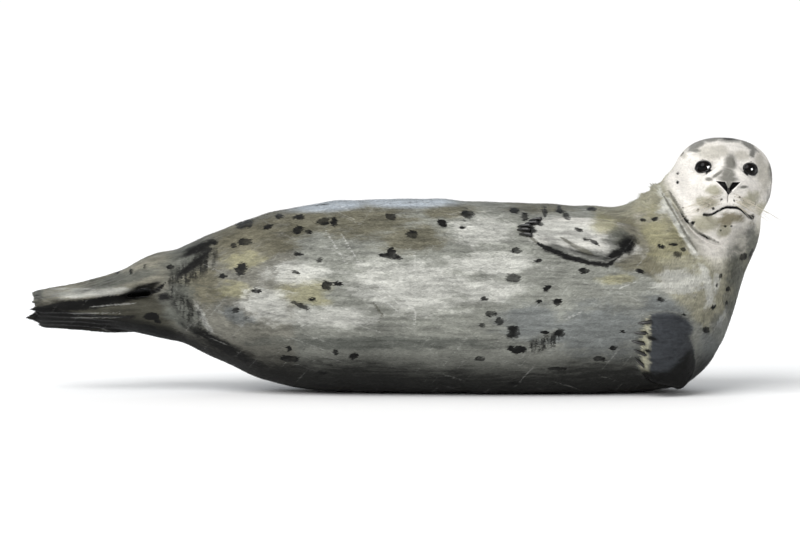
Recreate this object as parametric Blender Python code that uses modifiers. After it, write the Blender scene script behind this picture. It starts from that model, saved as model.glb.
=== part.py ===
"""A harbor seal lying on its left side with its head raised and turned, as a life-size museum model.

Units are metres. +Z is up, +X runs towards the head end, and the belly faces -Y. The origin is at the
bottom centre of the whole animal. The body is modelled whole, then parted with thin cuts.
"""

import math

import bmesh
import bpy
import numpy as np
from mathutils import Matrix, Vector
from mathutils.bvhtree import BVHTree

# ---------------------------------------------------------------------------------------------- sizes
# Rings across the body from tail root to skull: x, y, z, lean towards the tail at the top in degrees,
# half breadth (side to side), half depth (belly to back). The animal lies on its side, so its breadth
# stands up and its depth lies level.
SPINE = {
    "tail_root": (-0.520, 0.030, 0.203, 0, 0.060, 0.045),
    "ankles": (-0.475, 0.022, 0.204, 0, 0.095, 0.078),
    "hips": (-0.400, 0.012, 0.203, 0, 0.129, 0.116),
    "pelvis": (-0.350, 0.008, 0.2025, 0, 0.1525, 0.134),
    "rump": (-0.300, 0.004, 0.1995, 0, 0.173, 0.150),
    "loin": (-0.180, 0.000, 0.2005, 0, 0.1985, 0.171),
    "belly": (0.000, -0.004, 0.2025, 0, 0.2075, 0.183),
    "ribs": (0.200, -0.004, 0.195, 0, 0.208, 0.184),
    "chest": (0.350, -0.002, 0.192, 3, 0.206, 0.179),
    "shoulder": (0.450, 0.000, 0.1955, 13, 0.2045, 0.174),
    "withers": (0.519, 0.000, 0.2050, 26, 0.209, 0.169),
    "brisket": (0.554, -0.002, 0.228, 34, 0.1945, 0.161),
    "neck_base": (0.587, -0.004, 0.2735, 43, 0.166, 0.148),
    "neck": (0.6130, -0.006, 0.325, 54, 0.1400, 0.131),
    "throat": (0.653, -0.010, 0.380, 60, 0.121, 0.114),
    "skull": (0.676, -0.014, 0.448, 64, 0.098, 0.100),
}
SPINE_RINGS = 72
SPINE_SIDES = 56
SQUARENESS = 2.15  # 2 is a true ellipse
FLOOR_LEVEL = 0.0
MIDDLE = Vector((0.0044, -0.0074, 0.0))  # of the whole animal in these tables, which becomes the origin

# Head, in its own frame: forward to the nose, across to the seal's right, and up; zero between the eyes.
HEAD_AT = Vector((0.6825, -0.034, 0.475))
HEAD_YAW = math.radians(2.5)  # the nose turns from the belly side towards the head end
HEAD_PITCH = math.radians(4)  # nose up
HEAD_ROLL = math.radians(-3)  # the left eye is a little lower
# forward, half width, crown height, level of the widest point, jaw depth
HEAD_RINGS = {
    "nape": (-0.115, 0.040, 0.006, -0.040, -0.090),
    "occiput": (-0.095, 0.076, 0.036, -0.032, -0.112),
    "crown": (-0.055, 0.098, 0.058, -0.028, -0.120),
    "ears": (-0.015, 0.105, 0.065, -0.024, -0.122),
    "forehead": (0.025, 0.101, 0.063, -0.024, -0.121),
    "brows": (0.055, 0.089, 0.053, -0.028, -0.120),
    "eyes": (0.080, 0.074, 0.033, -0.036, -0.118),
    "stop": (0.100, 0.061, 0.009, -0.048, -0.114),
    "muzzle": (0.120, 0.052, -0.010, -0.058, -0.108),
    "lips": (0.138, 0.040, -0.020, -0.063, -0.099),
    "nose": (0.150, 0.024, -0.028, -0.062, -0.086),
}
HEAD_RING_COUNT = 44
HEAD_SIDES = 48
HEAD_SQUARENESS = 2.3
# Rounded masses that the head rings leave out: forward, across (mirrored), up, then the three radii.
HEAD_MASSES = {
    "whisker_pad": (0.117, 0.026, -0.064, 0.034, 0.029, 0.024),
    "cheek": (0.030, 0.050, -0.062, 0.060, 0.042, 0.046),
    "chin": (0.106, 0.010, -0.101, 0.032, 0.028, 0.019),
    "nose_tip": (0.139, 0.008, -0.037, 0.021, 0.017, 0.016),
    "brow": (0.062, 0.036, 0.016, 0.024, 0.026, 0.022),
}

EYE_RADIUS = 0.0200
EYE_BULGE = 0.0035  # how far the eyeball stands out of the face
EYE_FROM = (0.050, 0.027, -0.003)  # the line of sight starts here, inside the head
EYE_LOOK = math.radians(36)  # away from straight ahead
EYE_LIFT = math.radians(6)
EYE_SIDES_AND_RINGS = (14, 8)

GAP = 0.0004  # between neighbouring pieces
BODY_VOXEL = 0.013
HEAD_VOXEL = 0.0055
BODY_TRIANGLES = 1340
CUT_MARGIN = 0.02  # the coarse and the fine body overlap this far past the cut between them
HEAD_TRIANGLES = 1850

# Cuts across the trunk, by x, and the slanting cuts of the neck.
RUMP_CUT = -0.215
ABDOMEN_CUT = 0.215
NECK_CUT_AT = Vector((0.548, 0.0, 0.245))
NECK_CUT_NORMAL = Vector((0.72, 0.0, 0.69))
HEAD_CUT_AT = Vector((0.660, 0.010, 0.370))
HEAD_CUT_NORMAL = Vector((0.30, -0.45, 0.84))
# Cuts of the face, in the head's frame.
MUZZLE_CUT_FORWARD = 0.094
JAW_CUT_FORWARD = 0.035
MOUTH_FORWARD = 0.140
MOUTH_LEVEL = -0.082
MOUTH_SLOPE = math.radians(9)  # the mouth line drops towards its corners

# Flippers, as rows from root to toes. The right fore flipper lies on the skin: x, z, lift off the skin,
# half width, half thickness.
RIGHT_FORE = {
    "elbow": (0.520, 0.314, -0.022, 0.040, 0.022),
    "wrist": (0.470, 0.328, 0.004, 0.046, 0.019),
    "knuckles": (0.420, 0.332, 0.010, 0.050, 0.014),
    "palm_end": (0.365, 0.340, 0.010, 0.042, 0.011),
    "toes": (0.318, 0.347, 0.009, 0.036, 0.010),
    "tips": (0.268, 0.355, 0.008, 0.027, 0.008),
}
# The left fore flipper is folded between chest and floor: place, across vector, half width, half thickness.
LEFT_FORE = {
    "elbow": (0.575, -0.055, 0.070, 0.00, -0.20, 0.97, 0.056, 0.032),
    "wrist": (0.596, -0.102, 0.076, 0.10, -0.20, 0.97, 0.066, 0.029),
    "knuckles": (0.577, -0.136, 0.095, 0.16, -0.22, 0.96, 0.079, 0.025),
    "palm_end": (0.546, -0.156, 0.112, 0.10, -0.25, 0.96, 0.073, 0.020),
    "tips": (0.507, -0.170, 0.119, 0.00, -0.30, 0.95, 0.055, 0.012),
}
FORE_SHARES = (0.97, 1.00, 0.99, 0.96, 0.92)
FORE_CLAW = (0.029, 0.0060, 0.55)  # length with its buried root, root radius, hook in radians
# Hind flippers: x, y, z, half width, half thickness.
RIGHT_HIND = {
    "ankle": (-0.445, 0.010, 0.256, 0.062, 0.050),
    "heel": (-0.520, 0.010, 0.253, 0.056, 0.033),
    "sole": (-0.610, 0.010, 0.220, 0.050, 0.018),
    "toes": (-0.700, 0.010, 0.203, 0.050, 0.010),
    "tips": (-0.764, 0.010, 0.197, 0.042, 0.009),
}
LEFT_HIND = {
    "ankle": (-0.445, 0.006, 0.152, 0.062, 0.050),
    "heel": (-0.520, 0.006, 0.160, 0.056, 0.040),
    "sole": (-0.610, 0.006, 0.162, 0.050, 0.025),
    "toes": (-0.700, 0.006, 0.160, 0.052, 0.012),
    "tips": (-0.776, 0.004, 0.156, 0.050, 0.010),
}
RIGHT_HIND_TILT = math.radians(11)  # the outer face turns towards the belly side
LEFT_HIND_TILT = math.radians(30)
RIGHT_HIND_SHARES = (0.99, 0.98, 0.98, 0.99, 1.00)
LEFT_HIND_SHARES = (0.97, 0.95, 1.00, 0.96, 0.92)
HIND_CLAW = (0.016, 0.0027, 0.3)
CLAW_RINGS = 4
CLAW_SIDES = 5
CLAW_ROOT = 0.007  # how deep a claw's root lies in its digit
CLAW_LIFT = 0.0016  # and how far towards the digit's upper side
CLAW_NARROW = 0.72  # width to height
LIMB_STEPS = 41
WEB_RINGS = 16
WEB_SIDES = 20
DIGIT_RINGS = 14
DIGIT_SIDES = 10
DIGIT_ROUND = 4  # the last rings round off the tip
DIGIT_HALF = 0.21  # of the flipper's half width
OUTER_DIGIT = 0.80  # where the outer digits lie, as a share of the half width
DIGIT_SPACING = 0.40
DIGIT_START = 0.20  # where the digits begin, as a share of the flipper
WEB_END = 0.99
FORE_WEB_THIN = 0.25  # how much thinner than the digits the web is
HIND_WEB_THIN = 0.28
BOW = 2.4  # how much a flipper that lies on the body bends round it
FLIPPER_VOXEL = 0.0032
FLIPPER_TRIANGLES = 380

BLADE_RINGS = 8
BLADE_SIDES = 12
# Tail: x, y, z, across vector, half width, half thickness.
TAIL = {
    "root": (-0.470, 0.066, 0.200, 0.0, 1.0, 0.0, 0.034, 0.022),
    "middle": (-0.540, 0.084, 0.197, 0.0, 1.0, 0.0, 0.030, 0.016),
    "end": (-0.600, 0.096, 0.194, 0.0, 1.0, 0.0, 0.023, 0.011),
    "tip": (-0.618, 0.100, 0.193, 0.0, 1.0, 0.0, 0.010, 0.006),
}


LOOKS = {  # colour and roughness
    "coat": ((0.45, 0.45, 0.40), 0.75),
    "eye": ((0.01, 0.01, 0.012), 0.05),
    "claw": ((0.03, 0.028, 0.025), 0.35),
    "flipper": ((0.20, 0.21, 0.20), 0.65),
}


# -------------------------------------------------------------------------------------------- materials
def material(name, colour, roughness):
    """A Principled material with one colour and roughness."""
    made = bpy.data.materials.new(name)
    made.use_nodes = True
    shader = made.node_tree.nodes["Principled BSDF"]
    shader.inputs["Base Color"].default_value = (*colour, 1.0)
    shader.inputs["Roughness"].default_value = roughness
    shader.inputs["Metallic"].default_value = 0.0
    return made


# --------------------------------------------------------------------------------------- shape functions
def track(rows, count):
    """Rows of numbers, whose first three are a place, sampled evenly along a smooth curve through them."""
    rows = np.asarray(rows, float)
    along = np.concatenate([[0.0], np.cumsum(np.linalg.norm(np.diff(rows[:, :3], axis=0), axis=1))])
    slopes = np.gradient(rows, along, axis=0)
    wanted = np.linspace(0.0, along[-1], count)
    span = np.clip(np.searchsorted(along, wanted, side="right") - 1, 0, len(rows) - 2)
    width = (along[span + 1] - along[span])[:, None]
    t = (wanted - along[span])[:, None] / width
    start, end = rows[span], rows[span + 1]
    return (
        (2 * t**3 - 3 * t**2 + 1) * start
        + (t**3 - 2 * t**2 + t) * width * slopes[span]
        + (3 * t**2 - 2 * t**3) * end
        + (t**3 - t**2) * width * slopes[span + 1]
    )


def squared(value, squareness):
    """The sine or cosine of a rounded-square outline."""
    return np.sign(value) * np.abs(value) ** (2.0 / squareness)


def loft(name, rings):
    """A closed object through rings of equally many points, from the first ring to the last."""
    count, sides = rings.shape[:2]
    mesh = bpy.data.meshes.new(name)
    index = np.arange(count * sides).reshape(count, sides)
    onward = np.roll(index, -1, axis=1)
    walls = np.stack([index[:-1], onward[:-1], onward[1:], index[1:]], axis=-1).reshape(-1, 4).tolist()
    mesh.from_pydata(rings.reshape(-1, 3).tolist(), [], walls + [index[0, ::-1].tolist(), index[-1].tolist()])
    return outward(link(name, mesh))


def link(name, mesh):
    """An object for this mesh, in the scene."""
    made = bpy.data.objects.new(name, mesh)
    bpy.context.scene.collection.objects.link(made)
    return made


def outward(obj):
    """Turns every face outwards."""
    shape = bmesh.new()
    shape.from_mesh(obj.data)
    bmesh.ops.recalc_face_normals(shape, faces=shape.faces)
    shape.to_mesh(obj.data)
    shape.free()
    return obj


def ellipsoid(name, centre, radii, sides=24, rings=16):
    """A UV sphere stretched to three radii."""
    mesh = bpy.data.meshes.new(name)
    shape = bmesh.new()
    bmesh.ops.create_uvsphere(shape, u_segments=sides, v_segments=rings, radius=1.0)
    placed = Matrix.Translation(centre) @ Matrix.Diagonal((*radii, 1.0))
    bmesh.ops.transform(shape, matrix=placed, verts=shape.verts)
    shape.to_mesh(mesh)
    shape.free()
    return link(name, mesh)


def applied(obj):
    """Makes what the modifiers show the object's own mesh."""
    bpy.context.view_layer.update()
    mesh = bpy.data.meshes.new_from_object(obj.evaluated_get(bpy.context.evaluated_depsgraph_get()))
    mesh.transform(obj.matrix_world)
    obj.modifiers.clear()
    obj.matrix_world = Matrix.Identity(4)
    obj.data = mesh
    return obj


def joined(name, objects):
    """One object that holds the meshes of several, which are removed."""
    shape = bmesh.new()
    for obj in objects:
        mesh = obj.data.copy()
        mesh.transform(obj.matrix_world)
        shape.from_mesh(mesh)
        bpy.data.objects.remove(obj)
    mesh = bpy.data.meshes.new(name)
    shape.to_mesh(mesh)
    shape.free()
    return link(name, mesh)


def fused(obj, voxel, smoothings):
    """Overlapping shapes become one skin, with their joins smoothed."""
    remesh = obj.modifiers.new("fuse", "REMESH")
    remesh.mode = "VOXEL"
    remesh.voxel_size = voxel
    smooth = obj.modifiers.new("soften", "SMOOTH")
    smooth.factor = 0.5
    smooth.iterations = smoothings
    return applied(obj)


def thinned(obj, triangles):
    """The same surface in about this many triangles."""
    obj.data.calc_loop_triangles()
    share = triangles / len(obj.data.loop_triangles)
    decimate = obj.modifiers.new("thin", "DECIMATE")
    decimate.ratio = min(1.0, share)
    decimate.use_collapse_triangulate = True
    return applied(obj)


def cut_away(obj, point, normal):
    """Keeps the part of a closed mesh behind a plane, and closes the cut."""
    shape = bmesh.new()
    shape.from_mesh(obj.data)
    everything = [*shape.verts, *shape.edges, *shape.faces]
    found = bmesh.ops.bisect_plane(shape, geom=everything, plane_co=point, plane_no=normal, clear_outer=True)
    rim = [piece for piece in found["geom_cut"] if isinstance(piece, bmesh.types.BMEdge)]
    bmesh.ops.holes_fill(shape, edges=rim)
    bmesh.ops.triangulate(shape, faces=[face for face in shape.faces if len(face.verts) > 4])
    shape.to_mesh(obj.data)
    shape.free()
    return outward(obj)


def section(name, source, planes):
    """A copy of source between planes. Each plane is a point and the normal of the side to drop."""
    made = link(name, source.data.copy())
    for point, normal in planes:
        normal = normal.normalized()
        cut_away(made, point - normal * GAP / 2, normal)
    return made


def grown(obj, by, name):
    """A copy of obj with every face moved out, for cutting its neighbours with a gap."""
    made = link(name, obj.data.copy())
    displace = made.modifiers.new("grow", "DISPLACE")
    displace.strength = by
    displace.mid_level = 0.0
    made.hide_render = True
    made.display_type = "WIRE"
    return applied(made)


def boolean(obj, other, operation):
    """Cuts obj by other, or joins other to it."""
    cut = obj.modifiers.new(operation.lower(), "BOOLEAN")
    cut.operation = operation
    cut.solver = "EXACT"
    cut.object = other
    return applied(obj)


def largest_body(obj):
    """Drops all but the biggest of the bodies that a cut may leave."""
    shape = bmesh.new()
    shape.from_mesh(obj.data)
    left, bodies = set(shape.verts), []
    while left:
        edge, body = {left.pop()}, set()
        while edge:
            vert = edge.pop()
            body.add(vert)
            edge |= {e.other_vert(vert) for e in vert.link_edges} - body
        left -= body
        bodies.append(body)
    biggest = max(bodies, key=len)
    bmesh.ops.delete(shape, geom=[v for v in shape.verts if v not in biggest], context="VERTS")
    shape.to_mesh(obj.data)
    shape.free()
    return obj


# ---------------------------------------------------------------------------------------------- the body
def spine_rings(count):
    """Rings across the spine. Each ring starts at the belly and goes round by the right flank."""
    rows = track(list(SPINE.values()), count)
    centre, lean, breadth, depth = rows[:, :3], np.radians(rows[:, 3]), rows[:, 4], rows[:, 5]
    belly = np.array([0.0, -1.0, 0.0])
    right = np.stack([-np.sin(lean), np.zeros(count), np.cos(lean)], axis=-1)
    angle = np.linspace(0.0, 2 * math.pi, SPINE_SIDES, endpoint=False)
    towards_belly = squared(np.cos(angle), SQUARENESS)
    towards_right = squared(np.sin(angle), SQUARENESS)
    return (
        centre[:, None]
        + belly * (depth[:, None] * towards_belly)[..., None]
        + right[:, None] * (breadth[:, None] * towards_right)[..., None]
    )


def head_frame():
    """Carries head coordinates (forward, across to the right, up) into the model."""
    level = math.cos(HEAD_PITCH)
    forward = Vector((math.sin(HEAD_YAW) * level, -math.cos(HEAD_YAW) * level, math.sin(HEAD_PITCH)))
    right = Matrix.Rotation(HEAD_ROLL, 3, forward) @ forward.cross(Vector((0, 0, 1))).normalized()
    turned = Matrix((forward, right, right.cross(forward))).transposed()
    return Matrix.Translation(HEAD_AT) @ turned.to_4x4()


def head_shape():
    """The head in one piece, before it meets the neck."""
    table = [(forward, 0, 0, *rest) for forward, *rest in HEAD_RINGS.values()]
    rows = track(table, HEAD_RING_COUNT)
    forward, half, crown, widest, jaw = rows[:, 0], rows[:, 3], rows[:, 4], rows[:, 5], rows[:, 6]
    angle = np.linspace(0.0, 2 * math.pi, HEAD_SIDES, endpoint=False)
    across = squared(np.cos(angle), HEAD_SQUARENESS)
    upward = squared(np.sin(angle), HEAD_SQUARENESS)
    reach = np.where(upward[None] > 0, (crown - widest)[:, None], (widest - jaw)[:, None])
    ahead = np.repeat(forward[:, None], HEAD_SIDES, axis=1)
    rings = np.stack([ahead, half[:, None] * across, widest[:, None] + reach * upward], axis=-1)
    shapes = [loft("head_rings", rings)]
    for name, (ahead, side, level, *radii) in HEAD_MASSES.items():
        shapes += [ellipsoid(name, (ahead, sign * side, level), radii) for sign in (1, -1)]
    head = joined("head_shape", shapes)
    head.matrix_world = head_frame()
    return head


def whole_body():
    """Trunk, neck and head, not yet fused."""
    return joined("body", [loft("trunk_shape", spine_rings(SPINE_RINGS)), head_shape()])


def floored(obj):
    """Presses what would go through the floor flat onto it."""
    for vert in obj.data.vertices:
        vert.co.z = max(vert.co.z, FLOOR_LEVEL)
    return obj


# -------------------------------------------------------------------------------------------- flippers
def limb_rows(rows, count):
    """Place, across vector, outward vector, half width and half thickness along a flipper or tail."""
    table = track(rows, count)
    centre, across = table[:, :3], table[:, 3:6]
    tangent = np.gradient(centre, axis=0)
    tangent /= np.linalg.norm(tangent, axis=1)[:, None]
    across = across - (across * tangent).sum(axis=1)[:, None] * tangent
    across /= np.linalg.norm(across, axis=1)[:, None]
    return centre, tangent, across, np.cross(across, tangent), table[:, 6], table[:, 7]


def limb_point(frame, row, aside, out, bow):
    """A place beside and outward of the middle line, on a flipper that bends round the body."""
    centre, tangent, across, outward_way, _, _ = frame
    return centre[row] + across[row] * aside + outward_way[row] * (out - bow * aside * aside)


def blade(name, rows):
    """A flat limb with rounded edges and no digits."""
    frame = limb_rows(rows, BLADE_RINGS)
    angle = np.linspace(0.0, 2 * math.pi, BLADE_SIDES, endpoint=False)
    rings = [
        [limb_point(frame, row, frame[4][row] * math.cos(a), frame[5][row] * math.sin(a), 0.0) for a in angle]
        for row in range(BLADE_RINGS)
    ]
    return loft(name, np.array(rings))


def web(frame, shares, bow, thin):
    """The palm and the web, which grows thinner than the digits towards its end."""
    angle = np.linspace(0.0, 2 * math.pi, WEB_SIDES, endpoint=False)
    last = WEB_END * min(shares) * (LIMB_STEPS - 1)
    rings = []
    for row in np.linspace(0, last, WEB_RINGS).round().astype(int):
        share = min(1.0, max(0.0, (row / (LIMB_STEPS - 1) - DIGIT_START) / 0.4))
        half, thick = frame[4][row], frame[5][row] * (1.0 - thin * share)
        rings.append([limb_point(frame, row, half * math.cos(a), thick * math.sin(a), bow) for a in angle])
    return loft("web", np.array(rings))


def digit_shape(frame, place, share, bow):
    """One digit, from low in the palm to its rounded tip."""
    angle = np.linspace(0.0, 2 * math.pi, DIGIT_SIDES, endpoint=False)
    rows = np.linspace(DIGIT_START, share, DIGIT_RINGS) * (LIMB_STEPS - 1)
    straight = DIGIT_RINGS - 1 - DIGIT_ROUND
    rings = []
    for step, row in enumerate(rows.round().astype(int)):
        past = max(0.0, (step - straight) / DIGIT_ROUND)
        size = math.sqrt(max(0.02, 1.0 - past**2)) * min(1.0, 0.35 + 0.11 * step)
        half, thick = frame[4][row], frame[5][row]
        wide, deep = DIGIT_HALF * half * size + 0.0008, thick * size
        middle = place * half
        rings.append(
            [limb_point(frame, row, middle + wide * math.cos(a), deep * math.sin(a), bow) for a in angle]
        )
    return loft("digit", np.array(rings))


def flipper(name, rows, shares, first, bow, thin, claw):
    """A flipper with five digits, and its five claws. Digit one lies on the side that first gives."""
    frame = limb_rows(rows, LIMB_STEPS)
    shapes, claws = [web(frame, shares, bow, thin)], []
    for digit, share in enumerate(shares):
        place = first * (OUTER_DIGIT - DIGIT_SPACING * digit)
        shapes.append(digit_shape(frame, place, share, bow))
        last = round(share * (LIMB_STEPS - 1))
        end = Vector(limb_point(frame, last, place * frame[4][last], 0.0, bow))
        before = Vector(limb_point(frame, last - 6, place * frame[4][last - 6], 0.0, bow))
        way, normal = (end - before).normalized(), Vector(frame[3][last])
        claws.append(claw_shape(f"claw_{name}_{digit + 1}", end, way, normal, claw))
    made = fused(joined(name, shapes), FLIPPER_VOXEL, 3)
    return thinned(made, FLIPPER_TRIANGLES), claws


def claw_shape(name, end, forward, normal, size):
    """A claw: a tapering horn that hooks away from the outward side, with its root inside the digit."""
    length, radius, hook = size
    side = forward.cross(normal).normalized()
    out = side.cross(forward)
    start = end - forward * CLAW_ROOT + out * CLAW_LIFT
    rings = []
    for step in range(CLAW_RINGS):
        share = step / (CLAW_RINGS - 1)
        bend = hook * share
        ahead = length * math.sin(bend) / hook
        down = length * (1.0 - math.cos(bend)) / hook
        centre = start + forward * ahead - out * down
        way = forward * math.cos(bend) - out * math.sin(bend)
        rise = side.cross(way)
        width = radius * (1.0 - 0.85 * share**2.0)
        ring = [
            centre + side * (CLAW_NARROW * width * math.cos(a)) + rise * (width * math.sin(a))
            for a in np.linspace(0.0, 2 * math.pi, CLAW_SIDES, endpoint=False)
        ]
        rings.append([tuple(point) for point in ring])
    return loft(name, np.array(rings))


def skin_rows(skin, rows):
    """Rows that lie on the skin, from rows that give x, z, lift, half width and half thickness."""
    found = []
    for x, z, lift, half, thick in rows:
        place, normal, _, _ = skin.ray_cast(Vector((x, -1.0, z)), Vector((0, 1, 0)))
        across = normal.cross(Vector((1, 0, 0)))
        across = across if across.z > 0 else -across
        found.append((*(place + normal * lift), *across, half, thick))
    return found


def tilted_rows(rows, across):
    """Rows that share one across vector."""
    return [(x, y, z, *across, half, thick) for x, y, z, half, thick in rows]


# ------------------------------------------------------------------------------------------------ build
def eye_place(skin, frame, sign):
    """The middle of an eyeball seated in the face, its front standing a little out of it."""
    level = math.cos(EYE_LIFT)
    look = Vector((math.cos(EYE_LOOK) * level, sign * math.sin(EYE_LOOK) * level, math.sin(EYE_LIFT)))
    look = frame.to_3x3() @ look
    start = frame @ Vector((EYE_FROM[0], sign * EYE_FROM[1], EYE_FROM[2]))
    place = skin.ray_cast(start, look)[0]
    return place + look * (EYE_BULGE - EYE_RADIUS)


def trimmed(obj, neighbours):
    """Cuts a piece where its neighbours are, leaving a hair of room."""
    for neighbour in neighbours:
        cutter = grown(neighbour, GAP, "cutter")
        boolean(obj, cutter, "DIFFERENCE")
        bpy.data.objects.remove(cutter)
    return largest_body(obj)


def trunk_pieces(pieces, coarse, fine):
    """Rump, abdomen and chest from the coarse body, and the neck from the fine one."""
    east = Vector((1, 0, 0))
    rump_at, abdomen_at = Vector((RUMP_CUT, 0, 0)), Vector((ABDOMEN_CUT, 0, 0))
    pieces["rump"] = section("rump", coarse, [(rump_at, east)])
    pieces["abdomen"] = section("abdomen", coarse, [(rump_at, -east), (abdomen_at, east)])
    pieces["chest"] = section("chest", coarse, [(abdomen_at, -east), (NECK_CUT_AT, NECK_CUT_NORMAL)])
    neck_planes = [(NECK_CUT_AT, -NECK_CUT_NORMAL), (HEAD_CUT_AT, HEAD_CUT_NORMAL)]
    pieces["neck"] = section("neck", fine, neck_planes)


def head_pieces(pieces, fine, frame, eyes):
    """Head, muzzle, lower jaw and eyes."""
    turned = frame.to_3x3()
    ahead = turned @ Vector((1, 0, 0))
    jaw_at, muzzle_at = frame @ Vector((JAW_CUT_FORWARD, 0, 0)), frame @ Vector((MUZZLE_CUT_FORWARD, 0, 0))
    mouth_at = frame @ Vector((MOUTH_FORWARD, 0, MOUTH_LEVEL))
    mouth_normal = turned @ Vector((-math.sin(MOUTH_SLOPE), 0, math.cos(MOUTH_SLOPE)))
    whole = section("head", fine, [(HEAD_CUT_AT, -HEAD_CUT_NORMAL)])
    pieces["lower_jaw"] = section("lower_jaw", whole, [(jaw_at, -ahead), (mouth_at, mouth_normal)])
    for side, place in eyes.items():
        eye = ellipsoid(f"eye_{side}", place, (EYE_RADIUS,) * 3, *EYE_SIDES_AND_RINGS)
        pieces[eye.name] = eye
    trimmed(whole, [pieces["lower_jaw"], pieces["eye_right"], pieces["eye_left"]])
    pieces["head"] = section("head", whole, [(muzzle_at, ahead)])
    pieces["muzzle"] = section("muzzle", whole, [(muzzle_at, -ahead)])
    bpy.data.objects.remove(whole)


def limb_pieces(pieces, fore_rows):
    """Four flippers, twenty claws and the tail."""
    right_across = (0, math.cos(RIGHT_HIND_TILT), math.sin(RIGHT_HIND_TILT))
    left_across = (0, -math.cos(LEFT_HIND_TILT), math.sin(LEFT_HIND_TILT))
    right_hind = tilted_rows(RIGHT_HIND.values(), right_across)
    left_hind = tilted_rows(LEFT_HIND.values(), left_across)
    limbs = {
        "fore_right": (fore_rows, FORE_SHARES, -1, BOW, FORE_WEB_THIN, FORE_CLAW),
        "fore_left": (LEFT_FORE.values(), FORE_SHARES, 1, BOW, FORE_WEB_THIN, FORE_CLAW),
        "hind_right": (right_hind, RIGHT_HIND_SHARES, -1, 0.0, HIND_WEB_THIN, HIND_CLAW),
        "hind_left": (left_hind, LEFT_HIND_SHARES, 1, 0.0, HIND_WEB_THIN, HIND_CLAW),
    }
    for name, (rows, *rest) in limbs.items():
        limb, claws = flipper(name, list(rows), *rest)
        limb.name = f"flipper_{name}"
        near = ("rump", "flipper_hind_right") if "hind" in name else ("chest", "neck", "abdomen")
        near = [pieces[one] for one in near if one in pieces]
        pieces[limb.name] = trimmed(floored(limb), near)
        for made in claws:
            pieces[made.name] = trimmed(made, [pieces[limb.name], *near])
    near = [pieces["rump"], pieces["flipper_hind_right"], pieces["flipper_hind_left"]]
    pieces["tail"] = trimmed(blade("tail", list(TAIL.values())), near)


def collect(pieces):
    """Names the pieces, gives each its material, and moves them so that the origin is at their middle."""
    seal = bpy.data.collections.new("harbor_seal")
    bpy.context.scene.collection.children.link(seal)
    for name, obj in pieces.items():
        kind = name.split("_")[0]
        obj.name = name
        obj.data.name = name
        obj.data.materials.clear()
        obj.data.materials.append(material(name, *LOOKS.get(kind, LOOKS["coat"])))
        obj.data.transform(Matrix.Translation(-MIDDLE))
        bpy.context.scene.collection.objects.unlink(obj)
        seal.objects.link(obj)


def build():
    """Makes the whole body twice, coarse for the trunk and fine for neck and head, and parts it."""
    for obj in list(bpy.data.objects):
        bpy.data.objects.remove(obj)
    frame = head_frame()
    coarse = floored(fused(whole_body(), BODY_VOXEL, 3))
    cut_away(coarse, NECK_CUT_AT + NECK_CUT_NORMAL * CUT_MARGIN, NECK_CUT_NORMAL)
    floored(thinned(coarse, BODY_TRIANGLES))
    fine = fused(whole_body(), HEAD_VOXEL, 4)
    skin = BVHTree.FromObject(fine, bpy.context.evaluated_depsgraph_get())
    eyes = {side: eye_place(skin, frame, sign) for side, sign in (("right", 1), ("left", -1))}
    fore_rows = skin_rows(skin, RIGHT_FORE.values())
    cut_away(fine, NECK_CUT_AT - NECK_CUT_NORMAL * CUT_MARGIN, -NECK_CUT_NORMAL)
    thinned(fine, HEAD_TRIANGLES)
    pieces = {}
    trunk_pieces(pieces, coarse, fine)
    head_pieces(pieces, fine, frame, eyes)
    limb_pieces(pieces, fore_rows)
    for body in (coarse, fine):
        bpy.data.objects.remove(body)
    collect(pieces)


build()
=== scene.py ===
"""Looks of a harbor seal that lies on its left side with its head raised, as a still museum model.

One skin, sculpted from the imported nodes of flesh, carries a short coat of thin tufts. Eyes, lids, claws
and whiskers are pieces of their own. Units are metres, in the model's frame: +Z is up, +X runs to the
head end, and the belly faces -Y.
"""
import math

import bmesh
import bpy
import numpy as np
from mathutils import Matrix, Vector
from mathutils.bvhtree import BVHTree


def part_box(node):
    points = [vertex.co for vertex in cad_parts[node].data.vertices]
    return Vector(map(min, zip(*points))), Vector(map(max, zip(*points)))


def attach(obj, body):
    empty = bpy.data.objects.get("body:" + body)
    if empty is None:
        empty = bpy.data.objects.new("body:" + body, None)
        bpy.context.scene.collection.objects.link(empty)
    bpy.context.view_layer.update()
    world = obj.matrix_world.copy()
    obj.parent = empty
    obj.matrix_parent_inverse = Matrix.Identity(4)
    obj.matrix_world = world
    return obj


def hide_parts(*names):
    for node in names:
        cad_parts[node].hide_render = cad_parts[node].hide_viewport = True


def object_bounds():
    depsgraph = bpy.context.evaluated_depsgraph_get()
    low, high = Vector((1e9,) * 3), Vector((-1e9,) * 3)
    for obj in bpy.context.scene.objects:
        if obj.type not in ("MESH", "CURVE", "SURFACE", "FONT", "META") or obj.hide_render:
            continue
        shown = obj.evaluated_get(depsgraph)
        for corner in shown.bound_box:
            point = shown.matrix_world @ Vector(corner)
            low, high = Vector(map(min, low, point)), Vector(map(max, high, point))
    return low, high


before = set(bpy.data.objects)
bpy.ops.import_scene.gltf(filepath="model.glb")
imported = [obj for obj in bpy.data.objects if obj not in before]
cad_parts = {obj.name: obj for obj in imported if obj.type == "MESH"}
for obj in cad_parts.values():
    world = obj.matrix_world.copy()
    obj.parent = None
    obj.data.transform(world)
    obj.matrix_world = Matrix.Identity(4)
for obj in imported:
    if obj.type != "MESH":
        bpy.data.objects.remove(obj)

CAD_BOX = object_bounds()
RNG = np.random.default_rng(7)
FAR = 9.0  # metres, further than any place on the animal

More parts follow.
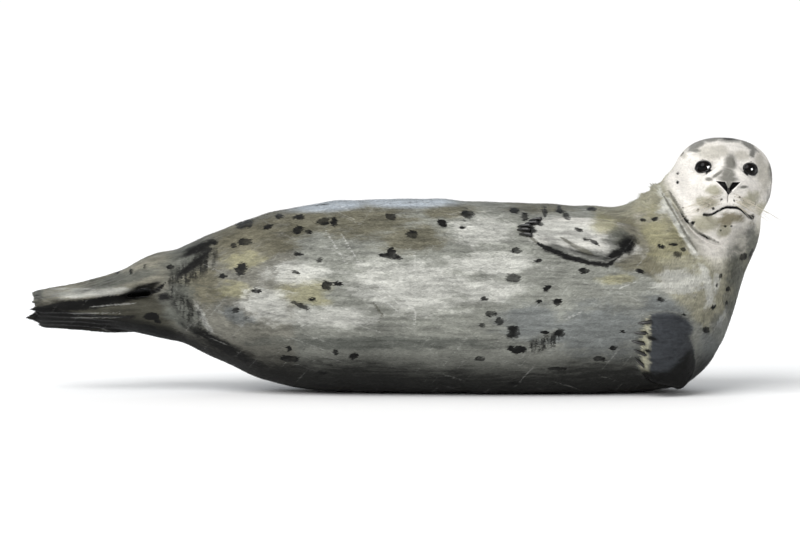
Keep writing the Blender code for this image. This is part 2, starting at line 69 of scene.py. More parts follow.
# ---- sizes
# Node of flesh: how freely its facets are smoothed, coat length, tuft width, coat lift, ground colour.
FLESH = {
    "chest": (1.00, 0.0090, 0.0017, 0.10, (0.56, 0.565, 0.535)),
    "abdomen": (1.00, 0.0090, 0.0017, 0.10, (0.54, 0.545, 0.515)),
    "rump": (0.80, 0.0088, 0.0017, 0.10, (0.47, 0.465, 0.43)),
    "neck": (0.45, 0.0085, 0.0015, 0.12, (0.58, 0.57, 0.50)),
    "head": (0.14, 0.0058, 0.0010, 0.10, (0.58, 0.57, 0.50)),
    "muzzle": (0.07, 0.0034, 0.0008, 0.08, (0.60, 0.59, 0.55)),
    "lower_jaw": (0.16, 0.0058, 0.0010, 0.10, (0.60, 0.59, 0.55)),
    # The tail's near-black ground colour is painted shade, for the gap between the hind flippers where it
    # lies.
    "tail": (0.00, 0.0080, 0.0012, 0.14, (0.16, 0.16, 0.14)),
    "flipper_fore_right": (0.00, 0.0070, 0.0012, 0.10, (0.80, 0.795, 0.77)),
    # The left fore flipper's dark ground colour is a darker, wet coat with painted shade, for its side in
    # shadow under the chest.
    "flipper_fore_left": (0.13, 0.0062, 0.0011, 0.08, (0.25, 0.262, 0.278)),
    "flipper_hind_right": (0.00, 0.0065, 0.0012, 0.10, (0.54, 0.53, 0.48)),
    # The left hind flipper's ground colour is painted shade: darker than the right one, as the lower
    # flipper lies in shade.
    "flipper_hind_left": (0.00, 0.0065, 0.0012, 0.10, (0.27, 0.265, 0.23)),
}
FACE_GROUND = (0.90, 0.885, 0.86)
FACE_FOLD = (0.556, 0.424)  # x, z of a place on the fold that parts the pale face from the neck
FLIPPERS = {  # the way from root to toes
    "flipper_fore_right": (-1.0, -0.05, 0.20),
    "flipper_fore_left": (-0.60, -0.60, 0.20),
    "flipper_hind_right": (-1.0, 0.0, -0.12),
    "flipper_hind_left": (-1.0, 0.0, 0.0),
    "tail": (-1.0, 0.25, 0.0),
}
OVERLAP = 0.0006  # by which nodes are grown before they are fused, to close the cuts between them
THIN_GROWTH = {"flipper_hind_right": 0.0024, "flipper_hind_left": 0.0024, "tail": 0.0015}  # for thin edges
TOE_STRETCH = 0.014  # by which the skin of the hind flippers runs out over the roots of the claws
SKIN_VOXEL = 0.0036
SMOOTH_ROUNDS = 150
EVEN_ROUNDS = 12  # smoothing of the limbs that keeps their thin edges
BLEND_ROUNDS = 30  # how far the fields of neighbouring nodes run into each other
COAT_DEPTH = 0.0018  # from the model's outline in to the skin, beyond what the smoothing takes

# The head's own frame: forward to the nose, across to the seal's right, up; the eyes lie at EYE_FORWARD.
HEAD_PITCH = math.radians(4)
EYE_FORWARD = 0.0749
EYE_OPEN_AT = math.radians(26)  # where the opening's middle lies, outwards from straight ahead
EYE_OPEN_UP = math.radians(4)
EYE_HALF_WIDTH = math.radians(55)
EYE_HALF_HEIGHT = math.radians(36)
EYE_SLANT = 0.14  # by which the outer corner hangs below the inner one
EYE_SINK = 0.0022  # how far under the eyeball's surface the skin runs
LID_DEPTH = 0.0013
LID_REACH = 2.0  # where the lid has run out, in openings
EYE_REACH = 1.6  # what counts as close round an eyeball, in its radii
RIM_RADIUS = 0.0013
CLAW_SWELL = 0.0007  # makes up for what rounding takes off a claw
WHISKER_SHORTEST = 0.022
WHISKER_GAIN = 0.8  # by which whiskers get longer, per metre across from the nose
WHISKER_RADII = (0.00050, 0.00014)  # root, tip

MOUTH_LEVEL = -0.0805
MOUTH_DROP = 0.0185
MOUTH_AT = -0.0095  # the jaw is held a little to the seal's left
MOUTH_HALF = 0.0570
MOUTH_DEPTH = 0.0045
MOUTH_WIDTH = 0.0021
NOSTRIL = ((0.0260, -0.0270), (0.0075, -0.0280), (0.0016, -0.0400), (0.0024, -0.0500))  # across, up
NOSTRIL_DEPTH = 0.008
PHILTRUM_TOP, PHILTRUM_END = -0.046, -0.070
FACE_FROM, FACE_FULL = 0.040, 0.060  # forward in the head's frame, where the face's features come in
NOSE_TIP = (0.150, 0.0, -0.045)

# The tables of creases and markings that follow are in millimetres.
MM = 1000.0
# Creases on the belly side: depth, half width, then places along them as x, z.
CREASES = {
    "behind_jaw": (7.5, 6, (548, 430), (575, 403), (592, 374), (612, 349), (633, 333), (655, 322),
                   (690, 313)),
    "neck_fold": (4, 6.5, (545, 396), (571, 368), (603, 320), (631, 288)),
    "rump_upper": (3.5, 8, (-478, 248), (-447, 277), (-384, 313)),
    "rump_lower": (3.5, 8, (-478, 206), (-420, 160), (-404, 125)),
}

# Markings on the belly side: x, z, half length, half height, tilt in degrees.
PATCHES = {
    "brown": (
        (-325, 335, 110, 45, 20), (-200, 365, 80, 32, 12), (-80, 368, 130, 40, 0),
        (20, 335, 90, 35, 0), (105, 388, 70, 18, 0), (-420, 235, 55, 55, 0), (-268, 318, 60, 26, 10),
        (530, 272, 45, 18, -10), (520, 335, 45, 50, -30), (575, 330, 30, 30, -40),
        # Brown row (474, 345), round the armpit, is brown coat with painted shade.
        (300, 395, 100, 14, 0), (474, 345, 46, 42, 0), (488, 288, 48, 22, 0),
    ),
    "olive": (
        (-205, 228, 65, 36, 0), (548, 345, 70, 45, -50), (590, 390, 30, 16, -55),
        (-170, 205, 30, 12, 0), (-330, 285, 50, 20, 10), (450, 252, 45, 14, 0), (-350, 225, 40, 20, 0),
        (425, 362, 34, 20, 0),
    ),
    "pale": (
        (-220, 262, 80, 26, 6), (25, 240, 150, 62, -4), (175, 352, 80, 36, 0), (585, 248, 60, 34, 0),
        (-150, 175, 130, 26, 0), (-285, 195, 60, 40, 0), (582, 365, 11, 95, 30),
        (640, 245, 14, 50, 15), (-415, 162, 50, 8, -62), (190, 285, 110, 28, 0), (180, 230, 80, 28, 0),
        (560, 405, 30, 14, 45), (675, 165, 8, 22, -30), (645, 205, 10, 20, -20),
        (662, 250, 12, 40, -10), (-640, 212, 100, 11, 4), (330, 352, 80, 28, -6),
    ),
    "slate": (
        (415, 145, 130, 70, 0), (665, 115, 45, 80, -25), (270, 165, 80, 50, 0),
        (550, 190, 60, 30, -20), (-345, 172, 50, 18, -20),
    ),
    # Painted shade: grey on the lower flank, down the edge of the neck turned from the light, under the
    # fore flipper and round the hips.
    "grey": (
        (-50, 118, 300, 18, 0), (712, 235, 30, 100, 12), (742, 300, 22, 70, 8),
        (-455, 285, 75, 34, 32), (-460, 170, 60, 40, -40), (-585, 240, 120, 14, 14),
        (700, 170, 20, 60, 15), (454, 330, 36, 34, 30), (-463, 205, 40, 40, 0), (-772, 206, 18, 20, 0),
        (405, 302, 70, 13, -9), (330, 316, 30, 10, -24),
    ),
    # Painted highlight: a pale bluish sheen along the top of the back, where light from the sky would
    # catch it.
    "frost": (
        (-150, 397, 110, 13, 5), (15, 404, 130, 12, 0),
    ),
    # Painted shade: dark smudges in the armpit, under the fore flipper, in the folds of the hips and by
    # the slit between the hind flippers.
    "dark": (
        (472, 322, 26, 22, 30), (446, 303, 30, 12, 22), (-430, 305, 50, 10, 25), (-500, 204, 20, 9, 0),
        (-438, 272, 50, 10, 38),
    ),
    # Painted shade in short dark strokes, in the folds round the hips and low on the chest.
    "hatch": (
        (-434, 268, 75, 26, 38), (-448, 180, 52, 26, -43), (-478, 232, 14, 30, 0),
        (300, 120, 50, 20, 20),
    ),
    # Painted shade: near black on the lower hind flipper and low on the trunk, next to the floor.
    "black": (
        (-745, 160, 65, 44, 0), (-560, 126, 90, 14, 0), (-650, 186, 100, 10, 7),
        (-375, 105, 110, 18, -28), (-660, 140, 120, 12, 0),
    ),
}
# Lines of painted shadow on the belly side, under the fore flipper, in the folds of cheek and throat and
# in the slit between the hind flippers: half width at the start and the end, then places along them as x,
# z.
SHADOW_LINES = {
    "under_flipper": (8.5, 6.2, (286, 326), (318, 310), (349, 298), (391, 286), (433, 282),
                      (457, 300)),
    "cheek_stroke": (3, 3.4, (586, 386), (602, 366)),
    "throat_stroke": (2.6, 2.8, (624, 346), (644, 334)),
    "slit": (12, 5, (-770, 178), (-680, 191), (-601, 201), (-540, 206), (-513, 217), (-497, 234)),
}
# Lines of painted shade along the folds of cheek, neck, hip and belly and across the fore flipper, with
# the same columns.
FOLD_SHADE_LINES = {
    "on_flipper": (3.4, 7, (333, 340), (362, 322), (400, 304)),
    "flipper_tip": (3, 3.4, (244, 357), (290, 324)),
    "cheek": (5, 3.6, (563, 430), (580, 402), (598, 372), (620, 348), (665, 326)),
    "neck": (2.6, 3, (548, 424), (572, 386), (596, 344), (620, 308)),
    "hip": (4, 3, (-490, 238), (-450, 236), (-390, 228)),
    "belly": (3, 2, (-60, 206), (-40, 180), (-46, 160)),
}
PALE_LINES = {  # where the coat has parted, and along the toes
    "shoulder": (2.2, 1, (-158, 350), (-112, 282)),
    "shoulder_low": (1.6, 1, (-126, 346), (-86, 284)),
    "flank": (2, 1, (-70, 238), (6, 176)),
    "flank_low": (1.8, 1, (-50, 242), (18, 182)),
    "flank_up": (2.8, 1.4, (0, 222), (29, 186), (30, 150)),
    "flank_high": (1.4, 1, (28, 310), (30, 190)),
    "chest": (1.8, 1, (455, 233), (500, 250)),
    "chest_low": (1.8, 1, (345, 170), (378, 185)),
    "toe": (2.4, 1.2, (-700, 169), (-590, 170)),
    "toe_low": (2.4, 1.2, (-695, 158), (-590, 159)),
    "toe_high": (3, 1.6, (-560, 190), (-660, 182)),
    "sole": (3, 1.6, (-745, 213), (-640, 219)),
}
SPOTS = (
    (-395, 320, 13, 5, 0), (-410, 303, 15, 8, 10), (-330, 358, 20, 11, 15), (-280, 355, 12, 6, 20),
    (-255, 374, 10, 5, 0), (-215, 375, 14, 5, 0), (-217, 350, 14, 8, 15), (-194, 347, 10, 5, 0),
    (-163, 368, 15, 8, 10), (-140, 366, 8, 11, 0), (-328, 324, 18, 7, 5), (-352, 316, 8, 6, 30),
    (-335, 270, 15, 12, 45), (-375, 254, 8, 6, 0), (-303, 226, 12, 5, 0), (-214, 302, 10, 4, 0),
    (-220, 265, 9, 4, -10), (-155, 240, 12, 10, 0), (-132, 244, 12, 5, 0), (-185, 210, 8, 4, 0),
    (-210, 197, 22, 6, -22), (-347, 184, 8, 6, 0), (-21, 309, 10, 11, 0), (-20, 300, 25, 6, -5),
    (23, 344, 14, 9, -15), (-22, 378, 13, 7, -10), (87, 365, 12, 7, -25), (140, 382, 16, 8, 0),
    (174, 213, 8, 4, -10), (188, 181, 13, 7, 0), (205, 166, 10, 8, 0), (170, 157, 7, 5, 0),
    (-235, 104, 6, 7, 0), (-234, 82, 22, 8, 0), (-138, 98, 6, 8, 20), (-100, 90, 10, 7, 20),
    (165, 85, 11, 5, 0), (238, 388, 12, 5, 0), (260, 376, 8, 8, 0), (302, 385, 6, 9, 0),
    (333, 388, 5, 8, 0), (347, 378, 8, 5, -10), (402, 388, 10, 4, 0), (241, 311, 13, 7, 0),
    (268, 355, 17, 8, -15), (287, 367, 12, 5, -20), (372, 353, 10, 4, -15), (405, 328, 14, 4, -30),
    (384, 270, 12, 6, -10), (499, 269, 11, 5, -10), (305, 235, 9, 7, 20), (289, 206, 7, 5, 0),
    (327, 205, 10, 7, 0), (300, 142, 10, 4, 0), (332, 140, 13, 9, 0), (242, 106, 22, 9, 0),
    (444, 108, 9, 5, 0), (417, 83, 17, 6, -8), (326, 63, 22, 4, 0), (464, 142, 6, 4, -30),
    (543, 209, 8, 5, -30), (592, 176, 7, 4, -35), (639, 142, 8, 7, -35), (655, 191, 8, 5, 30),
    (686, 226, 6, 6, 0), (718, 292, 9, 9, 0), (590, 313, 7, 5, -15), (532, 374, 8, 5, 15),
    (508, 371, 8, 3, 0), (545, 319, 10, 5, -20), (-486, 267, 9, 5, 0), (-570, 255, 4, 6, 0),
    (-527, 163, 18, 8, 0), (-538, 134, 24, 12, 0), (624, 356, 4, 6, 0), (-541, 266, 3, 6, 0),
    (-600, 250, 4, 5, 0), (669, 254, 4, 6, -20), (661, 236, 2, 6, 0), (683, 196, 4, 5, 0),
    (570, 323, 11, 3, 0),
)
# Painted shade between and under the claws of the folded flipper.
CLAW_MARKS = (  # between and under the claws of the folded flipper
    (507, 162, 13, 5, -18), (500, 142, 13, 5.5, 0), (524, 129, 14, 5, -10), (495, 122, 13, 5, -12),
    (516, 101, 10, 5.5, -15), (501, 96, 12, 5, -20), (500, 81, 11, 4.5, -12), (498, 68, 7, 3.5, 0),
)
# Markings of the face: across to the seal's right, up, half width, half height, tilt.
FACE_PATCHES = {
    # Painted shade: brow row (-82, -10) and crown rows (-103, 0) and (-105, -75) darken the side of the
    # head that turns from the light; the other rows are the coat's own marks.
    "brow": (
        (35, 30, 36, 20, 0), (-30, 28, 20, 14, 0), (12, 34, 18, 16, 20), (-82, -10, 20, 42, 0),
        (87, 23, 8, 8, 0), (-70, 20, 14, 20, 0),
    ),
    "crown": (
        (-6, 66, 50, 14, 0), (-48, 51, 26, 9, 31), (60, 46, 30, 9, -34), (67, 34, 14, 5, 0),
        (-54, 34, 8, 12, 20), (-103, 0, 14, 30, 0), (30, 60, 30, 8, -10), (-105, -75, 20, 50, 0),
    ),
    "bridge": (
        (-7, 12, 16, 23, 0), (-1, -10, 18, 18, 0), (2, -21.5, 26, 8.5, 0), (20.5, -12.6, 21, 4.2, -36),
        (39, -24.5, 9, 5, 0), (-33, -37, 11, 4, -8), (0, -33, 9, 12, 0),
    ),
    "tan": (
        (30, -46, 20, 13, 0), (43, -72, 24, 14, 0), (-50, -62, 30, 18, -20), (-80, -85, 16, 24, 0),
        (38, -116, 38, 22, -6), (-6, -130, 24, 22, 0),
    ),
    "chin": (
        (-4, -104, 28, 19, -10), (-34, -107, 32, 19, 8), (-56, -114, 26, 18, 0),
    ),
}
FACE_SPOTS = (
    (66, -118, 4.5, 6.5, 0), (98, -34, 3, 3.5, 0), (88, -87, 4, 3, 0), (56, -90, 3, 4, 0),
    (39, -77, 3, 3, 0), (29, -85, 3, 3.5, 0), (-3, -121, 4, 3, 0), (-16, -120, 3, 3, 0),
    (6, -130, 3, 2, 0), (13, -64, 3, 3, 0), (-24, -59, 3, 2.5, 0), (-13, -66, 2.5, 2.5, 0),
    (98, -16, 3, 2.5, 0), (-12, 63.5, 20, 4.5, -4), (-55, -97, 9.5, 5, -28),
    (-1.5, -46.5, 5.5, 7.5, 0),
)
# Layers of patches, in the order they are laid on: colour, how strongly it covers, how ragged its edge is.
# The pale bluish sheen is a painted highlight; the grey, fold, dark and black layers are painted shade.
LAYERS = {
    "brown": ((0.42, 0.405, 0.335), 0.85, 2.0),
    "olive": ((0.58, 0.565, 0.45), 0.78, 2.0),
    "pale": ((0.76, 0.76, 0.735), 0.84, 2.2),
    "slate": ((0.44, 0.458, 0.462), 0.70, 1.6),
    "grey": ((0.34, 0.35, 0.33), 0.78, 1.6),
    "frost": ((0.72, 0.75, 0.78), 0.85, 0.6),
    "brow": ((0.72, 0.705, 0.66), 0.70, 1.4),
    "crown": ((0.38, 0.38, 0.36), 0.85, 1.3),
    "bridge": ((0.42, 0.415, 0.385), 0.90, 0.9),
    "tan": ((0.65, 0.635, 0.55), 0.85, 1.4),
    "chin": ((0.46, 0.43, 0.33), 0.90, 1.8),
    "cream": ((0.80, 0.79, 0.70), 0.90, 1.4),
    "fold": ((0.36, 0.355, 0.31), 0.75, 0.9),
    "dark": ((0.045, 0.045, 0.045), 0.99, 1.4),
    "black": ((0.03, 0.03, 0.025), 0.99, 1.4),
}
# The colour of the painted shade strokes in the hips' folds.
HATCH_SHADE_COLOUR = (0.06, 0.06, 0.05)
# The colour of the painted shade under the body, towards the floor.
UNDERSIDE_SHADE_COLOUR = (0.04, 0.04, 0.035)
BACK_COLOUR = (0.34, 0.34, 0.31)
PARTING_COLOUR = (0.82, 0.82, 0.80)
SPOT_COLOUR = (0.045, 0.046, 0.044)
INK = (0.012, 0.011, 0.012)
HIDE = 2.5  # taken off a marking's depth where it must not show

COAT_PIECES = {  # the nodes they grow on
    "coat_rump": ("rump",),
    "coat_belly_rear": ("abdomen",),
    "coat_belly_fore": ("abdomen",),
    "coat_chest": ("chest",),
    "coat_neck": ("neck",),
    "coat_head": ("head",),
    "coat_face": ("muzzle", "lower_jaw"),
    "coat_fore_flippers": ("flipper_fore_right", "flipper_fore_left"),
    "coat_hind_flippers": ("flipper_hind_right", "flipper_hind_left", "tail"),
}
COAT_RANGES = {"coat_belly_rear": (-FAR, 0.0), "coat_belly_fore": (0.0, FAR)}  # along x
COVER = 1.15  # how many times over the tufts cover the skin
SKIN_KEPT = 0.60  # the share of the skin's triangles that is kept once the coat stands on it
NAPE = Vector((0.535, 0.0, 0.415))
NAPE_REACH = 0.045
NAPE_LIFT = 0.62
NAPE_LENGTH = 0.017
NAPE_LOCKS = 260.0  # how closely the locks of the ruffled nape follow each other
FLOOR_CLEARANCE = 0.0004

LENS = 400.0
CAMERA_AWAY = 18.67
CAMERA_UP = math.radians(5)
SKY_LIGHT = 0.58
SUN_LIGHT = 2.6
SUN_ANGLE = math.radians(50)
SUN_FROM = (-1.3, -1.7, 1.9)
RIM_AT = (0.0, 2.8, 1.9)  # a bluish light from behind
RIM_SIZE = (3.0, 1.0)
RIM_POWER = 18.0
RIM_COLOUR = (0.80, 0.91, 1.0)
CATCH_AT = (2.45, -1.92, 0.70)  # a lamp that only the eyes mirror
CATCH_SIZE = (1.3, 1.3)
CATCH_POWER = 650.0
WHITE = (1.0, 1.0, 1.0)
CAMERA_AIM = (0.0008, -0.085, 0.001)  # from the middle of the whole animal's box


# ---- small helpers
def linked(name, data):
    """An object for a mesh, light or camera, in the scene."""
    made = bpy.data.objects.new(name, data)
    bpy.context.scene.collection.objects.link(made)
    return made


def applied(obj):
    """Makes what the modifiers show the object's own mesh."""
    bpy.context.view_layer.update()
    mesh = bpy.data.meshes.new_from_object(obj.evaluated_get(bpy.context.evaluated_depsgraph_get()))
    obj.modifiers.clear()
    obj.data = mesh
    return obj


def read(items, key, width, kind=np.float32):
    """One field of a mesh's vertices, edges or triangles, a row for each."""
    found = np.empty(len(items) * width, kind)
    items.foreach_get(key, found)
    return found.reshape(-1, width)


def points_of(mesh):
    """The places of a mesh's vertices."""
    return read(mesh.vertices, "co", 3).astype(float)


def normals_of(mesh):
    """The normals of a mesh's vertices."""
    return read(mesh.vertices, "normal", 3).astype(float)


def edges_of(mesh):
    """The pairs of vertices that a mesh's edges join."""
    return read(mesh.edges, "vertices", 2, np.int32)


def triangles_of(mesh):
    """The corners of a mesh's triangles."""
    mesh.calc_loop_triangles()
    return read(mesh.loop_triangles, "vertices", 3, np.int32)


def store(mesh, name, values, kind="FLOAT", key="value"):
    """Keeps a value for each of a mesh's vertices, for its material to read."""
    held = mesh.attributes.new(name, kind, "POINT")
    held.data.foreach_set(key, np.asarray(values, np.float32).ravel())


def mesh_from(shape, name):
    """A mesh with the faces of a bmesh, which is freed."""
    mesh = bpy.data.meshes.new(name)
    shape.to_mesh(mesh)
    shape.free()
    return mesh


def moved(mesh, points):
    """Puts the mesh's vertices at these places."""
    mesh.vertices.foreach_set("co", points.astype(np.float32).ravel())
    mesh.update()


def smoothed(values, edges, rates, rounds):
    """Moves each vertex's values towards the mean of its neighbours', at a rate of its own."""
    count = len(values)
    first, second = edges.T
    links = np.bincount(edges.ravel(), minlength=count)[:, None]
    for _ in range(rounds):
        total = np.empty_like(values)
        for column in range(values.shape[1]):
            one = values[:, column]
            total[:, column] = np.bincount(first, one[second], count)
            total[:, column] += np.bincount(second, one[first], count)
        values = values + rates * (total / links - values)
    return values


def evened(points, edges, rates, rounds):
    """Smooths facets without shrinking: each round moves in, and then out again by a little more."""
    for _ in range(rounds):
        points = smoothed(points, edges, rates, 1)
        points = smoothed(points, edges, rates * -1.05, 1)
    return points


def unit(vectors):
    """Vectors of length one."""
    return vectors / np.maximum(np.linalg.norm(vectors, axis=-1, keepdims=True), 1e-9)


def ramp(low, high, values):
    """0 below low and 1 above high, with a smooth rise between. Low may be the greater of the two."""
    share = np.clip((values - low) / (high - low), 0.0, 1.0)
    return share * share * (3.0 - 2.0 * share)


def bell(values, width):
    """1 in the middle, falling off to both sides."""
    return np.exp(-((values / width) ** 2))


def middle(node):
    """The middle of a node's box."""
    low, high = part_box(node)
    return (Vector(low) + Vector(high)) / 2


# ---- head frame
def head_frame():
    """The head's origin, and its forward, right and up axes as rows."""
    right_eye, left_eye = middle("eye_right"), middle("eye_left")
    right = (right_eye - left_eye).normalized()
    level = Vector((0, 0, 1)).cross(right).normalized()
    upward = right.cross(level)
    ahead = level * math.cos(HEAD_PITCH) + upward * math.sin(HEAD_PITCH)
    axes = np.array((ahead, right, right.cross(ahead)))
    return np.array((right_eye + left_eye) / 2) - axes[0] * EYE_FORWARD, axes


HEAD_AT, HEAD_AXES = head_frame()


def in_head(points):
    """Places in the head's frame: forward, across, up."""
    return (points - HEAD_AT) @ HEAD_AXES.T


def from_head(points):
    """Places in the model's frame, from the head's."""
    return points @ HEAD_AXES + HEAD_AT


class Eye:
    """One eyeball's middle and radius, and the axes of its opening: out, across to the side, up."""

    def __init__(self, name, sign):
        low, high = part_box(name)
        self.name = name
        self.radius = (high[0] - low[0]) / 2
        self.centre = np.array(middle(name))
        level = math.cos(EYE_OPEN_UP)
        out = np.array((math.cos(EYE_OPEN_AT) * level, sign * math.sin(EYE_OPEN_AT) * level,
                        math.sin(EYE_OPEN_UP)))
        side = np.array((-math.sin(EYE_OPEN_AT), sign * math.cos(EYE_OPEN_AT), 0.0))
        self.axes = np.array((out, side, sign * np.cross(out, side))) @ HEAD_AXES

    def angles(self, points):
        """Distance from the middle, how far round to the side, and how far up."""
        away = points - self.centre
        reach = np.linalg.norm(away, axis=1)
        out, side, rise = (away @ self.axes.T / np.maximum(reach, 1e-9)[:, None]).T
        return reach, np.arctan2(side, out), np.arcsin(np.clip(rise, -1, 1))

    def near(self, points):
        """Whether places lie close round the eyeball."""
        return np.linalg.norm(points - self.centre, axis=1) < self.radius * EYE_REACH

    def opening(self, points):
        """0 in the middle of the opening and 1 on its edge."""
        _, turn, lift = self.angles(points)
        return np.hypot(turn / EYE_HALF_WIDTH, (lift + EYE_SLANT * turn) / EYE_HALF_HEIGHT)

    def corners(self, points):
        """Under 1 inside the point that the dark skin of the lids makes at the outer corner."""
        _, turn, lift = self.angles(points)
        point = np.abs(turn) / (1.32 * EYE_HALF_WIDTH) + ((lift + EYE_SLANT * turn) / EYE_HALF_HEIGHT) ** 2
        return np.where(turn > 0, point, FAR)

    def place(self, turn, lift, reach):
        """The place at these angles."""
        way = np.array((math.cos(lift) * math.cos(turn), math.cos(lift) * math.sin(turn), math.sin(lift)))
        return self.centre + way @ self.axes * reach


EYES = (Eye("eye_right", 1), Eye("eye_left", -1))


# ---- skin's mesh
def grown_copy(node):
    """A copy of a node's mesh, grown a little along its normals."""
    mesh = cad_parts[node].data.copy()
    shape = bmesh.new()
    shape.from_mesh(mesh)
    bmesh.ops.remove_doubles(shape, verts=shape.verts, dist=1e-6)
    shape.normal_update()
    for vert in shape.verts:
        vert.co += vert.normal * THIN_GROWTH.get(node, OVERLAP)
        if node.startswith("flipper_hind"):
            vert.co.x -= TOE_STRETCH * ramp(-0.68, -0.75, vert.co.x)
    return shape


def fused_flesh():
    """All flesh and both eyeballs as one closed skin."""
    whole = bmesh.new()
    for node in (*FLESH, "eye_right", "eye_left"):
        whole.from_mesh(mesh_from(grown_copy(node), node))
    skin = linked("skin", mesh_from(whole, "skin"))
    remesh = skin.modifiers.new("fuse", "REMESH")
    remesh.mode = "VOXEL"
    remesh.voxel_size = SKIN_VOXEL
    return applied(skin)


def node_shares(points, edges):
    """How much each place belongs to each node of flesh, run softly into its neighbours."""
    corners, faces, owners = [], [], []
    for index, node in enumerate(FLESH):
        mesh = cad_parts[node].data
        start = len(corners)
        corners += [vert.co.copy() for vert in mesh.vertices]
        faces += [[start + corner for corner in face.vertices] for face in mesh.polygons]
        owners += [index] * len(mesh.polygons)
    tree = BVHTree.FromPolygons(corners, faces)
    nearest = [owners[tree.find_nearest(Vector(point))[2]] for point in points]
    shares = np.eye(len(FLESH))[nearest]
    return smoothed(shares, edges, 0.5, BLEND_ROUNDS)


def refined(mesh, chosen):
    """Divides the faces whose corners are all chosen."""
    shape = bmesh.new()
    shape.from_mesh(mesh)
    inside = [face for face in shape.faces if all(chosen[vert.index] for vert in face.verts)]
    edges = {edge for face in inside for edge in face.edges}
    bmesh.ops.subdivide_edges(shape, edges=list(edges), cuts=1, use_grid_fill=True)
    bmesh.ops.triangulate(shape, faces=[face for face in shape.faces if len(face.verts) > 4])
    shape.to_mesh(mesh)
    shape.free()
    mesh.update()


def by_node(column):
    """One column of FLESH as an array, a row for each node."""
    return np.array([row[column] for row in FLESH.values()], float)


def finer_where_needed(mesh):
    """Gives the neck, and then more and more of the face, a finer mesh, and smooths it each time."""
    def head_zone(points):
        return in_head(points)[:, 0] > -0.02

    def features(points):
        ahead, across, up = in_head(points).T
        near_eye = np.min([np.linalg.norm(points - eye.centre, axis=1) for eye in EYES], axis=0) < 0.034
        muzzle = (ahead > 0.085) & (np.abs(across) < 0.066) & (up < -0.02) & (up > -0.112)
        return near_eye | muzzle

    def neck_zone(points):
        return (points[:, 0] > 0.50) & (points[:, 2] > 0.26)

    for zone in (neck_zone, head_zone, features):
        points = points_of(mesh)
        refined(mesh, zone(points))
        points = points_of(mesh)
        rates = 0.5 * zone(points)[:, None]
        moved(mesh, smoothed(points, edges_of(mesh), rates, 4))


# ---- sculpting
def nearest_on_path(points, path):
    """Distance to a path in the x-z plane, in millimetres, and how far along it that is, from 0 to 1."""
    flat = points[:, [0, 2]] * MM
    best = np.full(len(points), FAR * MM)
    along = np.zeros(len(points))
    path = np.array(path)
    for step in range(len(path) - 1):
        start, way = path[step], path[step + 1] - path[step]
        share = np.clip((flat - start) @ way / (way @ way), 0, 1)
        distance = np.linalg.norm(flat - start - share[:, None] * way, axis=1)
        closer = distance < best
        best[closer] = distance[closer]
        along[closer] = (step + share[closer]) / (len(path) - 1)
    return best, along


def tapered(along):
    """1 along a line, falling to 0 at both its ends."""
    return ramp(0.0, 0.15, along) * ramp(1.0, 0.85, along)


def creased(points, normals):
    """Presses in the folds of the belly side, each with a low swelling along it."""
    sunk = np.zeros(len(points))
    front = ramp(0.25, -0.25, normals[:, 1])
    for depth, width, *path in CREASES.values():
        distance, along = nearest_on_path(points, path)
        shape = bell(distance, width) - 0.35 * bell(distance - 2.4 * width, width)
        sunk += depth * front * tapered(along) * shape
    return points - normals * (sunk / MM)[:, None]


def rippled(points, normals, share):
    """Low swellings of the flesh, where share allows them."""
    x, y, z = points.T
    wave = (
        np.sin(31 * x + 12 * z + 1.0) * np.cos(14 * z - 9 * y)
        + 0.6 * np.sin(55 * x - 24 * z + 18 * y)
        + 0.4 * np.sin(83 * x + 41 * z + 30 * y + 2.0)
    )
    return points + normals * (0.0011 * wave * share)[:, None]


def lidded(points):
    """Sinks the skin under the front of each eyeball and lays a lid round the opening."""
    for eye in EYES:
        reach, turn, _ = eye.angles(points)
        opening = eye.opening(points)
        near = (reach < eye.radius * 2.2) & (np.abs(turn) < 2.0)
        lid = eye.radius + LID_DEPTH * ramp(0.96, 1.12, opening)
        blend = ramp(1.10, LID_REACH, opening)
        fold = 0.0010 * bell(opening - 1.5, 0.12)
        wanted = np.where(opening < 1.0, eye.radius - EYE_SINK * ramp(1.0, 0.93, opening),
                          lid * (1 - blend) + reach * blend - fold)
        wanted = np.where(near, wanted, reach)
        points = eye.centre + (points - eye.centre) * (wanted / reach)[:, None]
    return points


def mouth_height(across):
    """Where the mouth line lies, above or below the head's level."""
    return MOUTH_LEVEL - MOUTH_DROP * ramp(0.008, 0.048, np.abs(across - MOUTH_AT))


def mouth_ends(across, fade):
    """1 along the mouth line, falling to 0 at its corners."""
    return ramp(MOUTH_HALF, MOUTH_HALF - fade, np.abs(across - MOUTH_AT))


def inside_nostril(across, up):
    """How far inside the nostril's outline a place lies, negative outside."""
    corners = np.array(NOSTRIL)
    place = np.stack([np.abs(across), up], axis=1)
    depth = np.full(len(place), FAR)
    for start, end in zip(corners, np.roll(corners, -1, axis=0)):
        way = (end - start) / np.linalg.norm(end - start)
        inward = np.array((way[1], -way[0]))
        if (corners.mean(axis=0) - start) @ inward < 0:
            inward = -inward
        depth = np.minimum(depth, (place - start) @ inward)
    return depth


